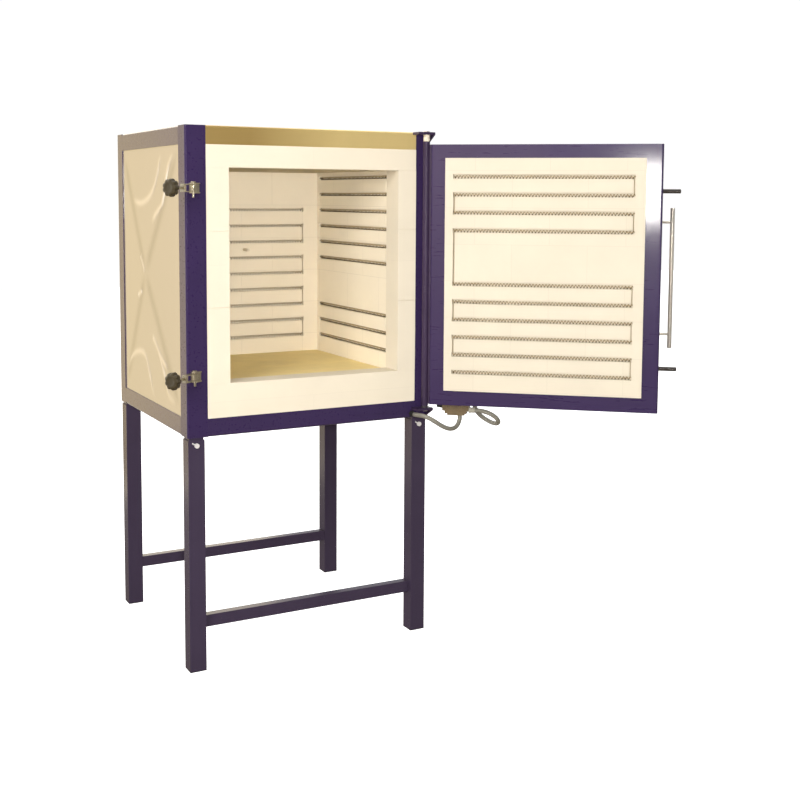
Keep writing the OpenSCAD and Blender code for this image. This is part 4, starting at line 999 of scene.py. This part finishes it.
class KILN_OT_fittings(bpy.types.Operator):
    """Finish the handle, rods, hinge pins, bolts, feet, glands and connector"""

    bl_idname = "kiln.fittings"
    bl_label = "Fittings"

    def execute(self, context):
        bright = surface("bright_steel", (0.88, 0.83, 0.74), shade=0.85, spread=12, scale=420,
                         stretch=(1, 1, 0.02), smooth=0.28, rough=0.36, relief=0.000004, metallic=0.9)
        dark = surface("blackened_rod", (0.10, 0.09, 0.085), shade=0.7, spread=30, amount=0.6, scale=420,
                       stretch=(0.3, 0.3, 1), smooth=0.28, rough=0.46, relief=0.00001, metallic=0.8)
        rubber = surface("black_rubber", (0.02, 0.02, 0.02), shade=0.7, spread=40, scale=600, smooth=0.5,
                         rough=0.75)
        brown = surface("brown_moulding", (0.17, 0.125, 0.07), shade=0.7, spread=40, amount=0.6, scale=600,
                        smooth=0.4, rough=0.6)
        brass = surface("turned_brass", (0.6, 0.4, 0.12), shade=0.7, spread=50, scale=500, smooth=0.25,
                        rough=0.4, metallic=1.0)
        plated = surface("plated_bolt", (0.82, 0.80, 0.80), shade=0.85, spread=60, scale=500,
                         relief=0.00003, metallic=0.3)
        dress(plated, "leg_bolts")
        dress(bright, "handle_bar", "handle_posts", "hinge_pins")
        dress(dark, "locking_rods")
        dress(rubber, "supply_gland", "cable_gland", "foot_caps", "connector_boot")
        dress(brown, "cable_connector")
        dress(brass, "terminal_blocks")
        soften(0.6, "handle_bar", "hinge_pins", "leg_bolts", "cable_connector", "locking_rods")
        self.turn_ferrule()
        self.turn_screws(plated)
        return {"FINISHED"}

    def turn_ferrule(self):
        """A ferrule where the return cable leaves the connector."""
        grey = surface("grey_moulding", (0.40, 0.38, 0.32), shade=0.85, spread=40, scale=600, smooth=0.4,
                       rough=0.6)
        outlet = Matrix.Translation(Vector(DOOR_CORNER) + Vector(RETURN_RUN[0]))
        ferrule = Build(DOOR @ outlet @ Matrix.Rotation(pi, 4, "Z"))
        ferrule.add(*turned(FERRULE))
        ferrule.piece("cable_ferrule", "door", grey)

    def turn_screws(self, plated):
        """The screws of the terminal cover."""
        screws = Build(CASING)
        for x in COVER_SCREWS_X:
            for z in COVER_SCREWS_Z:
                seat = Matrix.Translation((x, COVER_BACK, z)) @ Matrix.Rotation(pi / 2, 4, "Z")
                screws.add(*turned(SCREW_HEAD), seat)
        screws.piece("cover_screws", "casing", plated)


class KILN_OT_stage(bpy.types.Operator):
    """Set the floor, the soft light and the camera"""

    bl_idname = "kiln.stage"
    bl_label = "Stage"

    def execute(self, context):
        stage = context.scene.kiln_stage
        context.scene.view_settings.view_transform = "Standard"
        self.surround(context, stage.sky)
        self.lay_floor(stage.floor)
        self.glow_card("reflector", REFLECTOR, build_reflector_glow)
        self.glow_card("pale_card", PALE_CARD, build_pale_glow)
        for name, values in LAMPS.items():
            self.hang_lamp(name, stage.key, *values)
        self.aim_camera(context)
        return {"FINISHED"}

    def card(self, name, corners, material):
        """A flat piece of the stage."""
        mesh = bpy.data.meshes.new(name)
        mesh.from_pydata(corners, [], [(0, 1, 2, 3)])
        mesh.materials.append(material)
        made = show(name, mesh)
        return made

    def lay_floor(self, colour):
        """Pale paper, lit from below, which lights nothing else."""
        paper = surface("floor_paper", colour, shade=0.97, spread=0.6, amount=0.4, scale=60, smooth=0.8,
                        rough=0.95)
        settle(paper, {"Emission Color": (1.0, 1.0, 1.0, 1), "Emission Strength": 0.9})
        reach = 14
        corners = [(-reach, -reach, 0), (reach, -reach, 0), (reach, reach, 0), (-reach, reach, 0)]
        floor = self.card("floor", corners, paper)
        floor.visible_diffuse = False
        floor.visible_glossy = False

    def glow_card(self, name, corners, build):
        """A glowing card that shows only in glossy surfaces."""
        made = self.card(name, corners, glow_material(name + "_glow", build))
        made.visible_camera = False
        made.visible_diffuse = False
        made.visible_shadow = False

    def hang_lamp(self, name, key, place, aim, width, height, share, colour, glossy):
        """A flat lamp that the camera doesn't see."""
        lamp = bpy.data.lights.new(name, "AREA")
        lamp.shape = "RECTANGLE"
        lamp.size = width
        lamp.size_y = height
        lamp.energy = key * share
        lamp.color = colour
        hung = show(name, lamp)
        hung.location = place
        hung.rotation_euler = (Vector(aim) - Vector(place)).to_track_quat("-Z", "Y").to_euler()
        hung.visible_camera = False
        hung.visible_glossy = glossy

    def surround(self, context, strength):
        """A pale surround, bright behind the kiln and dimmer in front of it."""
        world = bpy.data.worlds.new("studio")
        world.use_nodes = True
        tree = world.node_tree
        sky = tree.nodes["Background"]
        way = put(tree, "TexCoord")["Generated"]
        split = put(tree, "SeparateXYZ", {0: way})
        behind = ramp(tree, split[1], -0.35, 0.35, 0.22, 1.0)
        level = mix(tree, behind, (0.0, 0.0, 0.0, 1), (1.02, 1.02, 1.02, 1))
        below = ramp(tree, split[2], -0.12, -0.30)
        tree.links.new(mix(tree, below, level, (0.34, 0.28, 0.21, 1)), sky.inputs["Color"])
        sky.inputs["Strength"].default_value = strength
        context.scene.world = world

    def aim_camera(self, context):
        """The photograph's viewpoint, as fitted to the casing's edges."""
        yaw, pitch, roll = (radians(turn) for turn in CAMERA_TURNS)
        forward = Vector((sin(yaw) * cos(pitch), cos(yaw) * cos(pitch), -sin(pitch)))
        level = forward.cross(Vector((0, 0, 1))).normalized()
        above = level.cross(forward)
        right = level * cos(roll) + above * sin(roll)
        up = above * cos(roll) - level * sin(roll)
        lens = bpy.data.cameras.new("camera")
        lens.sensor_width = 36
        lens.lens = 52.785
        lens.shift_y = -0.125
        camera = show("camera", lens)
        place = Matrix((right, up, -forward)).transposed().to_4x4()
        place.translation = CAMERA_AT
        camera.matrix_world = place
        context.scene.camera = camera


class KILN_PT_panel(bpy.types.Panel):
    """Lists the kiln's pieces and settings"""

    bl_idname = "KILN_PT_panel"
    bl_label = "Kiln"
    bl_space_type = "VIEW_3D"
    bl_region_type = "UI"
    bl_category = "Kiln"

    def draw(self, context):
        for owner in (context.scene.kiln_finish, context.scene.kiln_sizes, context.scene.kiln_stage):
            box = self.layout.box()
            for key in owner.bl_rna.properties.keys():
                if key not in {"rna_type", "name"}:
                    box.prop(owner, key)
        for operator in OPERATORS:
            self.layout.operator(operator.bl_idname)


OPERATORS = (KILN_OT_stage, KILN_OT_cables, KILN_OT_elements, KILN_OT_sheets, KILN_OT_frame, KILN_OT_lining,
             KILN_OT_clamps, KILN_OT_fittings)
CLASSES = (KilnFinish, KilnSizes, KilnStage, *OPERATORS, KILN_PT_panel)


def register():
    for cls in CLASSES:
        bpy.utils.register_class(cls)
    bpy.types.Scene.kiln_finish = bpy.props.PointerProperty(type=KilnFinish)
    bpy.types.Scene.kiln_sizes = bpy.props.PointerProperty(type=KilnSizes)
    bpy.types.Scene.kiln_stage = bpy.props.PointerProperty(type=KilnStage)


def unregister():
    del bpy.types.Scene.kiln_stage
    del bpy.types.Scene.kiln_sizes
    del bpy.types.Scene.kiln_finish
    for cls in reversed(CLASSES):
        bpy.utils.unregister_class(cls)


def main():
    register()
    bpy.ops.kiln.stage()
    bpy.ops.kiln.cables()
    bpy.ops.kiln.elements()
    bpy.ops.kiln.sheets()
    bpy.ops.kiln.frame()
    bpy.ops.kiln.lining()
    bpy.ops.kiln.clamps()
    bpy.ops.kiln.fittings()


if __name__ == "__main__":
    main()
